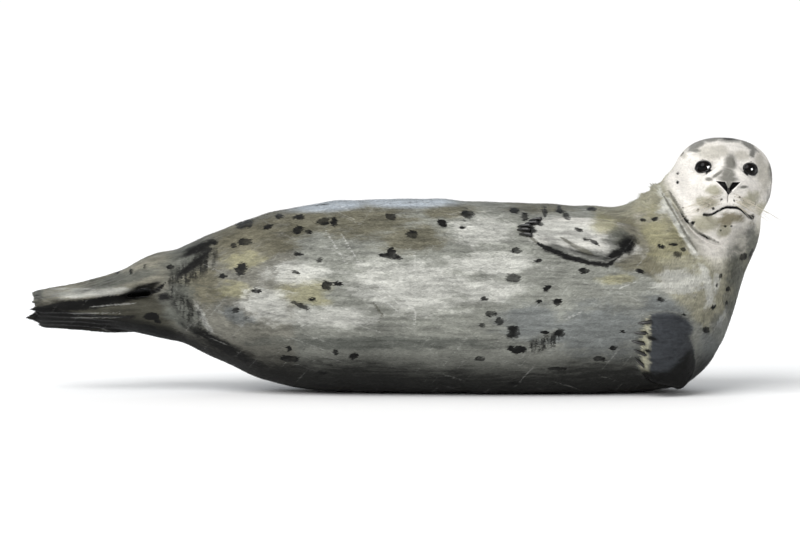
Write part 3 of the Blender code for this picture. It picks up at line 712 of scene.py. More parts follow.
def mouthed(points):
    """Mouth, nostrils, the groove under the nose and the pads, pressed into the face."""
    ahead, across, up = in_head(points).T
    face = ramp(FACE_FROM, FACE_FULL, ahead)
    line = up - mouth_height(across)
    ends = mouth_ends(across, 0.008)
    back = MOUTH_DEPTH * bell(line, MOUTH_WIDTH) * ends
    back -= 0.0022 * bell(line - 0.008, 0.006) * ends
    back += 0.0012 * bell(line + 0.006, 0.004) * ends
    back += NOSTRIL_DEPTH * ramp(-0.0004, 0.0022, inside_nostril(across, up))
    back -= 0.0015 * bell(inside_nostril(across, up) + 0.0022, 0.0016)
    below_nose = ramp(PHILTRUM_TOP + 0.002, PHILTRUM_TOP, up)
    above_lip = ramp(PHILTRUM_END - 0.003, PHILTRUM_END, up)
    back += 0.0026 * bell(across, 0.0016) * below_nose * above_lip
    back += pits(across, up, 0.0011) * 0.0007
    moved_back = in_head(points)
    moved_back[:, 0] -= back * face
    return from_head(moved_back)


def whisker_roots():
    """Rows of roots on the right pad, as across and up."""
    roots = []
    for row in range(5):
        for step in range(7 - row // 2):
            across = 0.0125 + 0.0062 * step + 0.0022 * (row % 2)
            up = -0.0520 - 0.0056 * row - 0.0016 * step - 0.0003 * step * step
            if mouth_height(np.array(across)) + 0.004 < up:
                roots.append((across, up))
    return roots


def pits(across, up, radius):
    """1 in the middle of each whisker's pit."""
    near = np.zeros(len(across))
    close = (np.abs(across) < 0.07) & (up < -0.04) & (up > -0.105)
    for root_across, root_up in whisker_roots():
        distance = np.hypot(np.abs(across[close]) - root_across, up[close] - root_up)
        near[close] = np.maximum(near[close], bell(distance, radius))
    return near


def ear_holes(points):
    """1 in the middle of each small ear opening; the species has no outer ears."""
    ahead, across, up = in_head(points).T
    distance = np.hypot((ahead - 0.002) / 1.5, up + 0.012) + FAR * (np.abs(across) < 0.06)
    return bell(distance, 0.0035)


def columns(nodes):
    """Which columns of the shares stand for these nodes of flesh."""
    return [list(FLESH).index(node) for node in nodes]


def share_of(shares, *nodes):
    """How much each place belongs to some nodes of flesh."""
    return shares[:, columns(nodes)].sum(axis=1)


def sculpted(mesh, shares):
    """Everything that is pressed into the skin, and the skin drawn in by the coat's depth."""
    edges = edges_of(mesh)
    trunk = share_of(shares, "chest", "abdomen", "rump")
    muzzle = share_of(shares, "muzzle")
    points, normals = points_of(mesh), normals_of(mesh)
    points = rippled(points, normals, trunk)
    points = points - normals * (COAT_DEPTH * (1 - 0.7 * muzzle))[:, None]
    moved(mesh, creased(points, normals_of(mesh)))
    points = mouthed(points_of(mesh))
    points = points - normals_of(mesh) * (0.0035 * ear_holes(points))[:, None]
    points = lidded(points)
    near_face = (in_head(points)[:, 0] > 0.04)[:, None]
    points = smoothed(points, edges, 0.3 * near_face, 2)
    points[:, 2] = np.maximum(points[:, 2], FLOOR_CLEARANCE)
    moved(mesh, points)


def make_skin():
    """The whole skin, smoothed, refined and sculpted, and its nodes' shares at each vertex."""
    skin = fused_flesh()
    mesh = skin.data
    edges = edges_of(mesh)
    shares = node_shares(points_of(mesh), edges)
    softness = (shares @ by_node(0))[:, None]
    points = smoothed(points_of(mesh), edges, 0.5 * softness, SMOOTH_ROUNDS)
    moved(mesh, evened(points, edges, 0.5 * ramp(0.15, 0.0, softness), EVEN_ROUNDS))
    finer_where_needed(mesh)
    shares = node_shares(points_of(mesh), edges_of(mesh))
    sculpted(mesh, shares)
    mesh.shade_smooth()
    return skin, shares


def thin_out(skin):
    """Joins the skin's flattest triangles, so that the whole model stays under two million."""
    fewer = skin.modifiers.new("fewer", "DECIMATE")
    fewer.ratio = SKIN_KEPT
    applied(skin)
    skin.data.shade_smooth()


# ---- marks on the coat
def deepest(places, rows):
    """How deep places lie in the nearest of several tilted ellipses: 1 in a middle, 0 on an edge."""
    best = np.full(len(places), -FAR)
    for first, second, half, tall, tilt in rows:
        angle = math.radians(tilt)
        across, up = places[:, 0] * MM - first, places[:, 1] * MM - second
        along = across * math.cos(angle) + up * math.sin(angle)
        beside = up * math.cos(angle) - across * math.sin(angle)
        best = np.maximum(best, 1.0 - np.hypot(along / half, beside / tall))
    return best


def ink_marks(points):
    """Where the face is black: nostrils, mouth line, lids' edges, pits and ear openings."""
    ahead, across, up = in_head(points).T
    face = ramp(FACE_FROM, FACE_FULL, ahead)
    width = 0.0033 + 0.0012 * ramp(-0.040, -0.062, across)
    mouth = bell(up - mouth_height(across), width) * mouth_ends(across, 0.003)
    corner = bell(np.hypot((across + 0.0590) / 0.0045, (up + 0.0995) / 0.0055), 1.0)
    mouth = 1.3 * np.maximum(mouth, corner) * ramp(0.010, 0.030, ahead)
    nostril = ramp(-0.0008, 0.0010, inside_nostril(across, up))
    groove = ramp(PHILTRUM_END - 0.002, PHILTRUM_END, up) * ramp(-0.040, -0.046, up) * bell(across, 0.0011)
    ink = face * np.maximum.reduce([nostril, 0.75 * groove, 0.7 * pits(across, up, 0.0012)])
    ink = np.maximum.reduce([ink, mouth, 0.8 * ear_holes(points)])
    for eye in EYES:
        opening = eye.opening(points)
        lids = np.maximum(ramp(1.22, 1.08, opening), ramp(1.10, 0.95, eye.corners(points)))
        ink = np.maximum(ink, eye.near(points) * np.maximum(lids, 0.38 * ramp(1.75, 1.15, opening)))
    return ink


def face_share(points):
    """1 on the pale face and 0 on the neck and trunk, with a soft change at the fold below the cheek."""
    past = (points[:, 0] - FACE_FOLD[0]) * 0.876 + (points[:, 2] - FACE_FOLD[1]) * 0.483
    ahead = in_head(points)[:, 0]
    low = 0.215 + 0.065 * ramp(0.665, 0.715, points[:, 0])
    return ramp(-0.006, 0.024, past) * ramp(low, low + 0.13, points[:, 2]) * ramp(-0.055, 0.005, ahead)


def line_depth(points, lines):
    """Like deepest, for places beside lines of the x-z plane that narrow towards both ends."""
    best = np.full(len(points), -FAR)
    for start, end, *path in lines.values():
        distance, along = nearest_on_path(points, path)
        width = (start + (end - start) * along) * (0.4 + 0.6 * tapered(along))
        best = np.maximum(best, 1.0 - distance / width)
    return best


def belly_marks(points, normals, face, limb):
    """The markings of the belly side, which the face and the left fore flipper keep clear of."""
    behind = HIDE * ramp(0.05, 0.45, normals[:, 1])
    level = points[:, [0, 2]]
    away = behind + HIDE * face + HIDE * limb
    found = {name: deepest(level, rows) - away for name, rows in PATCHES.items()}
    # The painted shade of the grey and dark layers also shows on the face.
    for name in ("grey", "dark"):
        found[name] = deepest(level, PATCHES[name]) - behind - HIDE * limb
    # The painted bluish sheen shows only on the side that faces forward.
    found["frost"] = deepest(level, PATCHES["frost"]) - HIDE * ramp(0.02, 0.40, normals[:, 1])
    found["spots"] = deepest(level, SPOTS) - away + HIDE * face * ramp(0.345, 0.325, points[:, 2])
    found["dark"] = np.maximum(found["dark"], line_depth(points, SHADOW_LINES) - behind)
    # Painted shade between the claws, kept to the left fore flipper.
    found["dark"] = np.maximum(found["dark"], deepest(level, CLAW_MARKS) - HIDE * (1.0 - limb))
    # Painted shade along the folds.
    found["fold"] = line_depth(points, FOLD_SHADE_LINES) - behind
    faint = 1.0 - 0.60 * ramp(-0.50, -0.56, points[:, 0])
    found["parting"] = (line_depth(points, PALE_LINES) - behind - HIDE * limb) * faint
    return found


def face_marks(points, face):
    """The markings of the face."""
    ahead, across, up = in_head(points).T
    place = np.stack([across, up], axis=1)
    found = {name: deepest(place, rows) for name, rows in FACE_PATCHES.items()}
    found["spots"] = deepest(place, FACE_SPOTS)
    hidden = HIDE * ramp(0.02, -0.02, ahead) + HIDE * (1.0 - face)
    for name in found:
        found[name] = found[name] - (HIDE * (1.0 - face) if name == "crown" else hidden)
    return found


def marks(points, normals, shares):
    """The share of each marking at each place. Values under 0 lie outside a patch."""
    face = face_share(points)
    limb = share_of(shares, "flipper_fore_left")
    found = belly_marks(points, normals, face, limb)
    of_face = face_marks(points, face)
    found["spots"] = np.maximum(found["spots"], of_face.pop("spots"))
    found.update(of_face)
    inside = 4.0 * limb - 2.0
    found["cream"] = np.minimum(inside, (0.523 - points[:, 0]) / 0.016)
    # Painted shadow: the lower part of the left fore flipper, under the chest, runs into black.
    edge = 0.066 + 0.040 * ramp(0.555, 0.612, points[:, 0])
    found["black"] = np.maximum(found["black"], np.minimum(inside, (edge - points[:, 2]) / 0.030))
    # Painted shade: the coat runs darker towards the floor and on faces turned down, for the shade under
    # the body.
    low = ramp(0.155, 0.018, points[:, 2] + 0.010 * np.sin(9.0 * points[:, 0]))
    low = np.maximum(low, ramp(-0.20, -0.85, normals[:, 2]) * (1.0 - face))
    found["under"] = low * (1.0 - 0.75 * limb)
    found["back"] = ramp(0.05, 0.80, normals[:, 1]) * (1.0 - 0.7 * face)
    found["face"] = face
    found["limb"] = limb
    found["ink"] = ink_marks(points)
    return found


def mark_mesh(mesh, repeats, points, normals, shares):
    """Writes places, ground colours and markings on a mesh, repeats times for each place."""
    face = face_share(points)[:, None]
    ground = shares @ np.array([row[4] for row in FLESH.values()]) * (1.0 - face) + face * FACE_GROUND
    store(mesh, "root", np.repeat(points, repeats, axis=0), "FLOAT_VECTOR", "vector")
    store(mesh, "ground", np.repeat(linear(ground), repeats, axis=0), "FLOAT_VECTOR", "vector")
    for name, values in marks(points, normals, shares).items():
        store(mesh, name, np.repeat(values, repeats))


def linear(colour):
    """Screen colour values as the linear ones that shaders take."""
    colour = np.asarray(colour, float)
    return np.where(colour <= 0.04045, colour / 12.92, ((colour + 0.055) / 1.055) ** 2.4)


# ---- coat
def lie_of_coat(points, shares):
    """Which way the coat lies: back from the nose, down the neck, along the trunk and out to the toes."""
    from_nose = unit(points - from_head(np.array(NOSE_TIP)))
    back = unit(from_nose * 0.8 - HEAD_AXES[0] * 0.6)
    ways = {
        "chest": (-1.0, 0.0, -0.15), "abdomen": (-1.0, 0.0, 0.0), "rump": (-1.0, 0.0, 0.0),
        "neck": (-0.50, 0.0, -0.87), **FLIPPERS,
    }
    total = np.zeros_like(points)
    for index, node in enumerate(FLESH):
        way = np.array(ways[node]) if node in ways else back
        total += shares[:, [index]] * way
    return unit(total)


def bare_places(points):
    """0 where no coat grows: eyes, nostrils and nose pad, mouth, and where the body meets the floor."""
    ahead, across, up = in_head(points).T
    grown = ramp(0.003, 0.006, points[:, 2])
    face = ahead > 0.05
    grown = grown * np.where(face, 1.0 - ramp(-0.0030, -0.0012, inside_nostril(across, up)), 1.0)
    mouth = bell(up - mouth_height(across), 0.0018) * mouth_ends(across, 0.001)
    grown = grown * np.where(face, 1.0 - mouth, 1.0)
    pad = (np.abs(across) < 0.0075) & (up < -0.024) & (up > -0.050) & face
    grown = grown * ~pad
    for eye in EYES:
        grown = grown * np.where(eye.near(points), ramp(1.12, 1.30, eye.opening(points)), 1.0)
    return grown


def coat_fields(mesh, shares):
    """For each vertex: normal, lie, length, width, lift, growth, and the nodes' shares."""
    points, normals = points_of(mesh), normals_of(mesh)
    way = lie_of_coat(points, shares)
    way = unit(way - (way * normals).sum(axis=1)[:, None] * normals)
    length, width, lift = shares @ by_node(1), shares @ by_node(2), shares @ by_node(3)
    nape = np.linalg.norm((points - np.array(NAPE)) * (1, 0.6, 1), axis=1)
    ruffled = bell(nape, NAPE_REACH) * (0.6 + 0.4 * np.sin(NAPE_LOCKS * points[:, 0]))
    lift = lift + (NAPE_LIFT - lift) * ruffled
    length = length + (NAPE_LENGTH - length) * ruffled
    fringe = share_of(shares, "flipper_fore_left") * ramp(0.540, 0.518, points[:, 0])
    length = length + 0.003 * fringe
    lift = lift + 0.15 * fringe
    rest = np.stack([length, width, lift, bare_places(points)], axis=1)
    return np.concatenate([normals, way, rest, shares], axis=1)


def scattered(mesh, fields):
    """Roots of tufts all over the skin, with the fields at each."""
    points, corners = points_of(mesh), triangles_of(mesh)
    first, second, third = (points[corners[:, side]] for side in range(3))
    area = np.linalg.norm(np.cross(second - first, third - first), axis=1) / 2
    mean = fields[corners].mean(axis=1)
    size = mean[:, 6] * mean[:, 7] * 0.55
    count = np.floor(area * COVER * mean[:, 9] / size + RNG.random(len(area))).astype(int)
    chosen = np.repeat(np.arange(len(area)), count)
    one, two = np.sqrt(RNG.random(len(chosen))), RNG.random(len(chosen))
    shares = np.stack([1 - one, one * (1 - two), one * two], axis=1)
    mixed = np.einsum("ij,ijk->ik", shares, np.concatenate([points, fields], axis=1)[corners[chosen]])
    return mixed[:, :3], mixed[:, 3:]


TUFT_TRIANGLES = np.array(((0, 1, 3), (0, 3, 2), (2, 3, 4)))
TUFT_PATCH = 0.0015  # half the size of a tuft's patch on its piece's map


def tuft_points(roots, fields):
    """Five corners for each tuft: two at the root, two half way, and the tip."""
    count = len(roots)
    normal, way = unit(fields[:, :3]), fields[:, 3:6]
    side = unit(np.cross(normal, way))
    way = unit(way + side * RNG.normal(0, 0.20, count)[:, None])
    side = unit(np.cross(normal, way))
    length = fields[:, 6] * RNG.uniform(0.70, 1.30, count)
    width = fields[:, 7] * RNG.uniform(0.75, 1.25, count)
    lift = np.maximum(fields[:, 8] * RNG.uniform(0.3, 1.7, count), 0.02) * length
    half = side * (width / 2)[:, None]
    middles = roots + way * (0.55 * length)[:, None] + normal * (0.0004 + 0.55 * lift)[:, None]
    tips = roots + way * length[:, None] + normal * (0.0003 + lift)[:, None]
    base = roots - normal * 0.0004
    narrow = half * 0.85
    found = np.stack([base - half, base + half, middles - narrow, middles + narrow, tips], axis=1)
    found[:, :, 2] = np.maximum(found[:, :, 2], FLOOR_CLEARANCE)
    return found


def spread_out(points, owners, nodes):
    """Places on a map of the piece's own skin, with a strip of the map for each of its nodes."""
    found = np.empty((len(points), 2))
    for strip, node in enumerate(nodes):
        own = np.isin(owners, columns([node]))
        if not own.any():
            continue
        low, high = points[own].min(axis=0), points[own].max(axis=0)
        away = points[own] - (low + high) / 2
        if node in ("head", "muzzle", "lower_jaw"):
            ahead, across, up = (away @ HEAD_AXES.T).T
            along = np.arccos(np.clip(up / np.linalg.norm(away, axis=1), -1, 1)) / math.pi
            around = np.arctan2(across, ahead)
        else:
            axis = np.array((0.4, 0.0, 0.92)) if node == "neck" else np.array((1.0, 0.0, 0.0))
            beside = np.cross((0.0, 1.0, 0.0), axis)
            along = away @ axis
            along = (along - along.min()) / np.ptp(along)
            around = np.arctan2(away @ beside, -away[:, 1])
        found[own, 0] = (strip + 0.02 + 0.96 * (0.5 + around / (2 * math.pi))) / len(nodes)
        found[own, 1] = 0.02 + 0.96 * along
    return found


def triangle_mesh(name, points, triangles):
    """A mesh of triangles."""
    mesh = bpy.data.meshes.new(name)
    mesh.vertices.add(len(points))
    mesh.vertices.foreach_set("co", points.astype(np.float32).ravel())
    mesh.loops.add(triangles.size)
    mesh.loops.foreach_set("vertex_index", triangles.astype(np.int32).ravel())
    mesh.polygons.add(len(triangles))
    mesh.polygons.foreach_set("loop_start", np.arange(0, triangles.size, 3, dtype=np.int32))
    mesh.update(calc_edges=True)
    mesh.shade_smooth()
    return mesh


def coat_piece(name, nodes, roots, fields, owners):
    """One piece of coat: its tufts, their map and their markings."""
    count = len(roots)
    corners = tuft_points(roots, fields)
    triangles = (np.arange(count)[:, None, None] * 5 + TUFT_TRIANGLES).reshape(-1, 3)
    mesh = triangle_mesh(name, corners.reshape(-1, 3), triangles)
    offsets = np.array(((-1, -1), (1, -1), (-1, 0), (1, 0), (0, 1))) * TUFT_PATCH
    flat = (spread_out(roots, owners, nodes)[:, None] + offsets).reshape(-1, 2)
    layer = mesh.uv_layers.new(name="OFBake")
    layer.data.foreach_set("uv", flat[triangles.ravel()].astype(np.float32).ravel())
    shade = np.repeat(RNG.normal(0, 1, count), 5)
    tip = np.tile((0.0, 0.0, 0.5, 0.5, 1.0), count)
    seen = roots + fields[:, 3:6] * (0.45 * fields[:, 6])[:, None]
    mark_mesh(mesh, 5, seen, unit(fields[:, :3]), fields[:, 10:])
    store(mesh, "shade", shade)
    store(mesh, "tip", tip)
    return linked(name, mesh)


def make_coat(skin, shares):
    """All pieces of coat."""
    roots, fields = scattered(skin.data, coat_fields(skin.data, shares))
    owners = fields[:, 10:].argmax(axis=1)
    pieces = []
    for name, nodes in COAT_PIECES.items():
        low, high = COAT_RANGES.get(name, (-FAR, FAR))
        own = np.isin(owners, columns(nodes))
        own &= (roots[:, 0] >= low) & (roots[:, 0] < high)
        pieces.append(coat_piece(name, nodes, roots[own], fields[own], owners[own]))
    return pieces


# ---- materials
class Graph:
    """A material and short calls that add to its nodes."""

    def __init__(self, name, roughness, **settings):
        self.material = bpy.data.materials.new(name)
        self.material.use_nodes = True
        self.tree = self.material.node_tree
        self.shader = self.tree.nodes["Principled BSDF"]
        self.shader.inputs["Roughness"].default_value = roughness
        for socket, value in settings.items():
            self.shader.inputs[socket.replace("_", " ")].default_value = value

    def put(self, socket, value):
        """Links a socket to a value that comes from a node, or sets it."""
        if isinstance(value, bpy.types.NodeSocket):
            self.tree.links.new(value, socket)
        else:
            socket.default_value = value

    def node(self, kind, **settings):
        """A new node with these settings."""
        made = self.tree.nodes.new(f"ShaderNode{kind}")
        for name, value in settings.items():
            setattr(made, name, value)
        return made

    def attribute(self, name, output="Fac"):
        """A value that the mesh holds."""
        return self.node("Attribute", attribute_name=name).outputs[output]

    def math(self, operation, *parts):
        """One sum on numbers."""
        made = self.node("Math", operation=operation)
        for socket, part in zip(made.inputs, parts):
            self.put(socket, part)
        return made.outputs[0]

    def times(self, first, second):
        """The product of two numbers."""
        return self.math("MULTIPLY", first, second)

    def scaled(self, value, factor, offset):
        """A number times a factor, plus an offset."""
        return self.math("MULTIPLY_ADD", value, factor, offset)

    def spread(self, noise, factor, offset=0.0):
        """Noise with its middle moved to 0, times a factor, plus an offset."""
        return self.scaled(self.math("SUBTRACT", noise, 0.5), factor, offset)

    def stretched(self, vector, stretch):
        """A vector multiplied axis by axis."""
        made = self.node("VectorMath", operation="MULTIPLY")
        self.put(made.inputs[0], vector)
        self.put(made.inputs[1], stretch)
        return made.outputs[0]

    def noise(self, vector, stretch, detail, roughness=0.55, output="Fac"):
        """Noise whose grain is 1 / stretch along each axis."""
        made = self.node("TexNoise")
        self.put(made.inputs["Vector"], self.stretched(vector, stretch))
        made.inputs["Scale"].default_value = 1.0
        made.inputs["Detail"].default_value = detail
        made.inputs["Roughness"].default_value = roughness
        return made.outputs[output]

    def grain(self, stretch, detail, roughness=0.55):
        """Noise at the object's own places."""
        return self.noise(self.node("TexCoord").outputs["Object"], stretch, detail, roughness)

    def step(self, low, high, value):
        """A smooth rise from 0 at low to 1 at high."""
        made = self.node("MapRange", interpolation_type="SMOOTHSTEP")
        for index, part in enumerate((value, low, high, 0.0, 1.0)):
            self.put(made.inputs[index], part)
        return made.outputs[0]

    def mix(self, share, low, high):
        """One colour mixed into another. Each comes from a node, or is given in screen values."""
        made = self.node("Mix", data_type="RGBA")
        self.put(made.inputs["Factor"], share)
        for socket, value in zip(made.inputs[6:8], (low, high)):
            self.put(socket, value if isinstance(value, bpy.types.NodeSocket) else (*linear(value), 1.0))
        return made.outputs[2]

    def bump(self, height, strength, distance):
        """Leads a height to the shader's normal."""
        made = self.node("Bump")
        made.inputs["Strength"].default_value = strength
        made.inputs["Distance"].default_value = distance
        self.put(made.inputs["Height"], height)
        self.put(self.shader.inputs["Normal"], made.outputs[0])

    def finish(self, colour):
        """Leads a colour to the shader."""
        self.put(self.shader.inputs["Base Color"], colour)
        return self.material


def random_spots(graph, root):
    """Dark spots strewn by chance, more of them on the back."""
    wander = graph.noise(root, (30, 30, 30), 2.0, 0.5, "Color")
    shifted = graph.node("VectorMath", operation="ADD")
    graph.put(shifted.inputs[0], graph.stretched(root, (20, 32, 32)))
    graph.put(shifted.inputs[1], graph.stretched(wander, (0.55, 0.55, 0.55)))
    cells = graph.node("TexVoronoi")
    cells.inputs["Scale"].default_value = 1.0
    graph.put(cells.inputs["Vector"], shifted.outputs[0])
    parts = graph.node("SeparateColor")
    graph.put(parts.inputs[0], cells.outputs["Color"])
    wanted = graph.scaled(graph.attribute("back"), -0.62, 0.88)
    there = graph.step(0.0, 0.02, graph.math("SUBTRACT", parts.outputs[0], wanted))
    size = graph.scaled(parts.outputs[1], 0.22, 0.13)
    inside = graph.step(-0.02, 0.06, graph.math("SUBTRACT", size, cells.outputs["Distance"]))
    return graph.times(there, inside)


def patched(graph, colour, ragged):
    """A colour under the layers of patches, whose edges are ragged."""
    for name, (tint, cover, edge) in LAYERS.items():
        share = graph.step(-0.15, 0.55, graph.spread(ragged, edge, graph.attribute(name)))
        colour = graph.mix(graph.times(share, cover), colour, tint)
    return colour


def mottled(graph, colour, broad, streaks):
    """A colour that varies in broad clouds and in fine streaks, and less so on the face."""
    calm = graph.scaled(graph.attribute("face"), -0.65, 1.0)
    both = graph.math("ADD", graph.spread(broad, 1.3), graph.spread(streaks, 1.7))
    return brightened(graph, colour, graph.scaled(both, calm, 1.0))


def brightened(graph, colour, by):
    """A colour times a number."""
    made = graph.node("VectorMath", operation="SCALE")
    graph.put(made.inputs[0], colour)
    graph.put(made.inputs["Scale"], by)
    return made.outputs[0]


def shade_hatched(graph, root, colour):
    """Painted shade in short dark strokes across the body, in the folds round the hips."""
    strokes = graph.noise(root, (230, 20, 30), 2.0, 0.5)
    where = graph.step(-0.20, 0.45, graph.attribute("hatch"))
    share = graph.times(graph.step(0.38, 0.60, strokes), where)
    return graph.mix(graph.times(share, 0.92), colour, HATCH_SHADE_COLOUR)


def scratched(graph, root, colour):
    """Thin pale lines where the coat has parted: long ones, and a few strewn at two slants."""
    total = graph.times(graph.step(0.0, 0.6, graph.attribute("parting")), 0.60)
    bare = graph.scaled(graph.attribute("limb"), -0.24, 0.24)
    for slant in (0.9, -0.35):
        turned = graph.node("VectorRotate", rotation_type="Y_AXIS")
        graph.put(turned.inputs["Vector"], root)
        turned.inputs["Angle"].default_value = slant
        lines = graph.noise(turned.outputs[0], (7, 8, 330), 1.0, 0.4)
        line = graph.times(graph.step(0.69, 0.80, lines), bare)
        total = graph.math("MAXIMUM", total, line)
    return graph.mix(total, colour, PARTING_COLOUR)


def spotted(graph, root, colour):
    """A colour under dark spots, some of them fainter than others."""
    angular = graph.noise(root, (60, 90, 150), 2.0, 0.6)
    placed = graph.step(0.0, 0.14, graph.spread(angular, 1.1, graph.attribute("spots")))
    spots = graph.math("MAXIMUM", placed, random_spots(graph, root))
    depth = graph.scaled(graph.step(0.35, 0.60, graph.noise(root, (45, 45, 45), 1.0)), 0.20, 0.79)
    return graph.mix(graph.times(spots, depth), colour, SPOT_COLOUR)


def coat_colours(graph):
    """The colour of skin and coat at a root's place, from its markings, the painted shade and highlight
    among them, and noise.
    """
    root = graph.attribute("root", "Vector")
    broad = graph.noise(root, (9, 14, 14), 4.0, 0.6)
    streaks = graph.noise(root, (14, 110, 150), 3.0, 0.65)
    ragged = graph.noise(root, (22, 60, 60), 6.0, 0.68)
    ground = graph.attribute("ground", "Vector")
    colour = graph.mix(graph.times(graph.attribute("back"), 0.70), ground, BACK_COLOUR)
    colour = patched(graph, colour, ragged)
    # Painted shade towards the floor, broken into streaks.
    shade = graph.step(0.12, 0.98, graph.spread(streaks, 0.9, graph.attribute("under")))
    colour = graph.mix(graph.times(shade, 0.96), colour, UNDERSIDE_SHADE_COLOUR)
    colour = mottled(graph, colour, broad, streaks)
    colour = scratched(graph, root, shade_hatched(graph, root, colour))
    return root, spotted(graph, root, colour)


def coat_material(name, tufts):
    """Skin and tufts share this look. Tufts differ from each other and pale towards their tips."""
    graph = Graph(name, 0.58, Specular_IOR_Level=0.18, Sheen_Weight=0.04, Sheen_Roughness=0.4)
    root, colour = coat_colours(graph)
    if tufts:
        own = graph.scaled(graph.attribute("shade"), 0.09, 0.97)
        tip = graph.scaled(graph.attribute("tip"), 0.14, 0.93)
        colour = brightened(graph, colour, graph.times(own, tip))
    else:
        graph.bump(graph.noise(root, (260, 1300, 1300), 2.0, 0.6), 0.35, 0.0006)
    ink = graph.step(0.15, 0.85, graph.attribute("ink"))
    return graph.finish(graph.mix(ink, colour, INK))


def eye_material():
    """A dark, wet eye with a brown iris that hardly shows round a wide pupil."""
    graph = Graph("eye_wet", 0.03, IOR=1.22)
    gaze = graph.attribute("gaze")
    fibres = graph.noise(graph.attribute("iris", "Vector"), (3.0, 60.0, 1.0), 3.0, 0.6)
    iris = graph.mix(fibres, (0.03, 0.022, 0.018), (0.07, 0.045, 0.032))
    ring = graph.times(graph.step(0.36, 0.46, gaze), graph.step(0.80, 0.62, gaze))
    return graph.finish(graph.mix(ring, INK, iris))


def rim_material():
    """The bare black edge of the lids, a little wet."""
    graph = Graph("lid_edge", 0.30, Specular_IOR_Level=0.6)
    pores = graph.grain((900, 900, 900), 2.0)
    graph.bump(pores, 0.3, 0.0003)
    return graph.finish(graph.mix(pores, (0.02, 0.018, 0.018), (0.07, 0.065, 0.06)))


def claw_material():
    """Dark horn, streaked along the claw."""
    graph = Graph("claw_horn", 0.32, Coat_Weight=0.25, Coat_Roughness=0.25)
    grain = graph.grain((140, 900, 900), 3.0, 0.6)
    graph.bump(grain, 0.35, 0.0004)
    return graph.finish(graph.mix(grain, (0.02, 0.018, 0.017), (0.08, 0.072, 0.065)))


def whisker_material():
    """Pale whiskers with darker bands."""
    graph = Graph("whisker", 0.35, Specular_IOR_Level=0.5)
    bands = graph.grain((300, 300, 300), 2.0)
    return graph.finish(graph.mix(bands, (0.62, 0.58, 0.50), (0.88, 0.86, 0.80)))


def floor_material():
    """A matt, pale studio floor."""
    graph = Graph("studio_floor", 0.9, Specular_IOR_Level=0.1)
    cloud = graph.grain((3, 3, 3), 2.0)
    return graph.finish(graph.mix(cloud, (0.975, 0.975, 0.975), (0.985, 0.985, 0.985)))


# ---- other pieces
def grid_triangles(rings, sides):
    """Triangles between rings of equally many points, closed round each ring."""
    index = np.arange(rings * sides).reshape(rings, sides)
    onward = np.roll(index, -1, axis=1)
    one = np.stack([index[:-1], onward[:-1], onward[1:]], axis=-1).reshape(-1, 3)
    two = np.stack([index[:-1], onward[1:], index[1:]], axis=-1).reshape(-1, 3)
    return np.concatenate([one, two])


def make_eye(eye, material):
    """A fine eyeball whose clear front stands out a little."""
    shape = bmesh.new()
    bmesh.ops.create_uvsphere(shape, u_segments=64, v_segments=40, radius=1.0)
    ways = np.array([vert.co[:] for vert in shape.verts])
    out = ways[:, 2]
    points = ways * (eye.radius - 0.0004)
    points[:, 2] += 0.0010 * bell(np.arccos(np.clip(out, -1, 1)), 0.55)
    axes = np.array((eye.axes[1], eye.axes[2], eye.axes[0]))
    placed = points @ axes + eye.centre
    for vert, place in zip(shape.verts, placed):
        vert.co = place
    bmesh.ops.recalc_face_normals(shape, faces=shape.faces)
    mesh = mesh_from(shape, f"{eye.name}_fine")
    mesh.shade_smooth()
    store(mesh, "gaze", np.arccos(np.clip(out, -1, 1)))
    iris = np.stack([out, np.arctan2(ways[:, 1], ways[:, 0]), np.zeros(len(out))], axis=1)
    store(mesh, "iris", iris, "FLOAT_VECTOR", "vector")
    made = linked(mesh.name, mesh)
    mesh.materials.append(material)
    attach(made, "root")
    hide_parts(eye.name)
    return made


def tube(path, radii, sides):
    """Points and triangles of a tube along a path, closed into a point at each end."""
    path = np.asarray(path, float)
    tangent = unit(np.gradient(path, axis=0))
    side = unit(np.cross(tangent, (0.0123, 0.43, 0.9)))
    rise = np.cross(tangent, side)
    angle = np.linspace(0, 2 * math.pi, sides, endpoint=False)
    ring = side[:, None] * np.cos(angle)[None, :, None] + rise[:, None] * np.sin(angle)[None, :, None]
    points = path[:, None] + ring * np.asarray(radii)[:, None, None]
    return points.reshape(-1, 3), grid_triangles(len(path), sides)


def make_rims(material):
    """The dark edge of the lids round each eye's opening."""
    for eye in EYES:
        angles = np.linspace(0, 2 * math.pi, 97)
        turns = EYE_HALF_WIDTH * 1.03 * np.cos(angles)
        lifts = EYE_HALF_HEIGHT * 1.03 * np.sin(angles) - EYE_SLANT * turns
        path = [eye.place(turn, lift, eye.radius + 0.0003) for turn, lift in zip(turns, lifts)]
        points, triangles = tube(path, np.full(97, RIM_RADIUS), 10)
        mesh = triangle_mesh(f"lid_edge_{eye.name[4:]}", points, triangles)
        made = linked(mesh.name, mesh)
        mesh.materials.append(material)
        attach(made, "root")


def make_claws(material):
    """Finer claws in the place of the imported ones, a piece for each flipper."""
    for limb in ("fore_right", "fore_left", "hind_right", "hind_left"):
        nodes = [f"claw_{limb}_{digit}" for digit in range(1, 6)]
        shape = bmesh.new()
        for node in nodes:
            shape.from_mesh(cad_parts[node].data)
        bmesh.ops.remove_doubles(shape, verts=shape.verts, dist=1e-6)
        made = linked(f"claws_{limb}", mesh_from(shape, f"claws_{limb}"))
        rounded = made.modifiers.new("round", "SUBSURF")
        rounded.levels = rounded.render_levels = 2
        swell = made.modifiers.new("swell", "DISPLACE")
        swell.strength = CLAW_SWELL
        swell.mid_level = 0.0
        applied(made)
        made.data.shade_smooth()
        made.data.materials.clear()
        made.data.materials.append(material)
        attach(made, "root")
        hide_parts(*nodes)


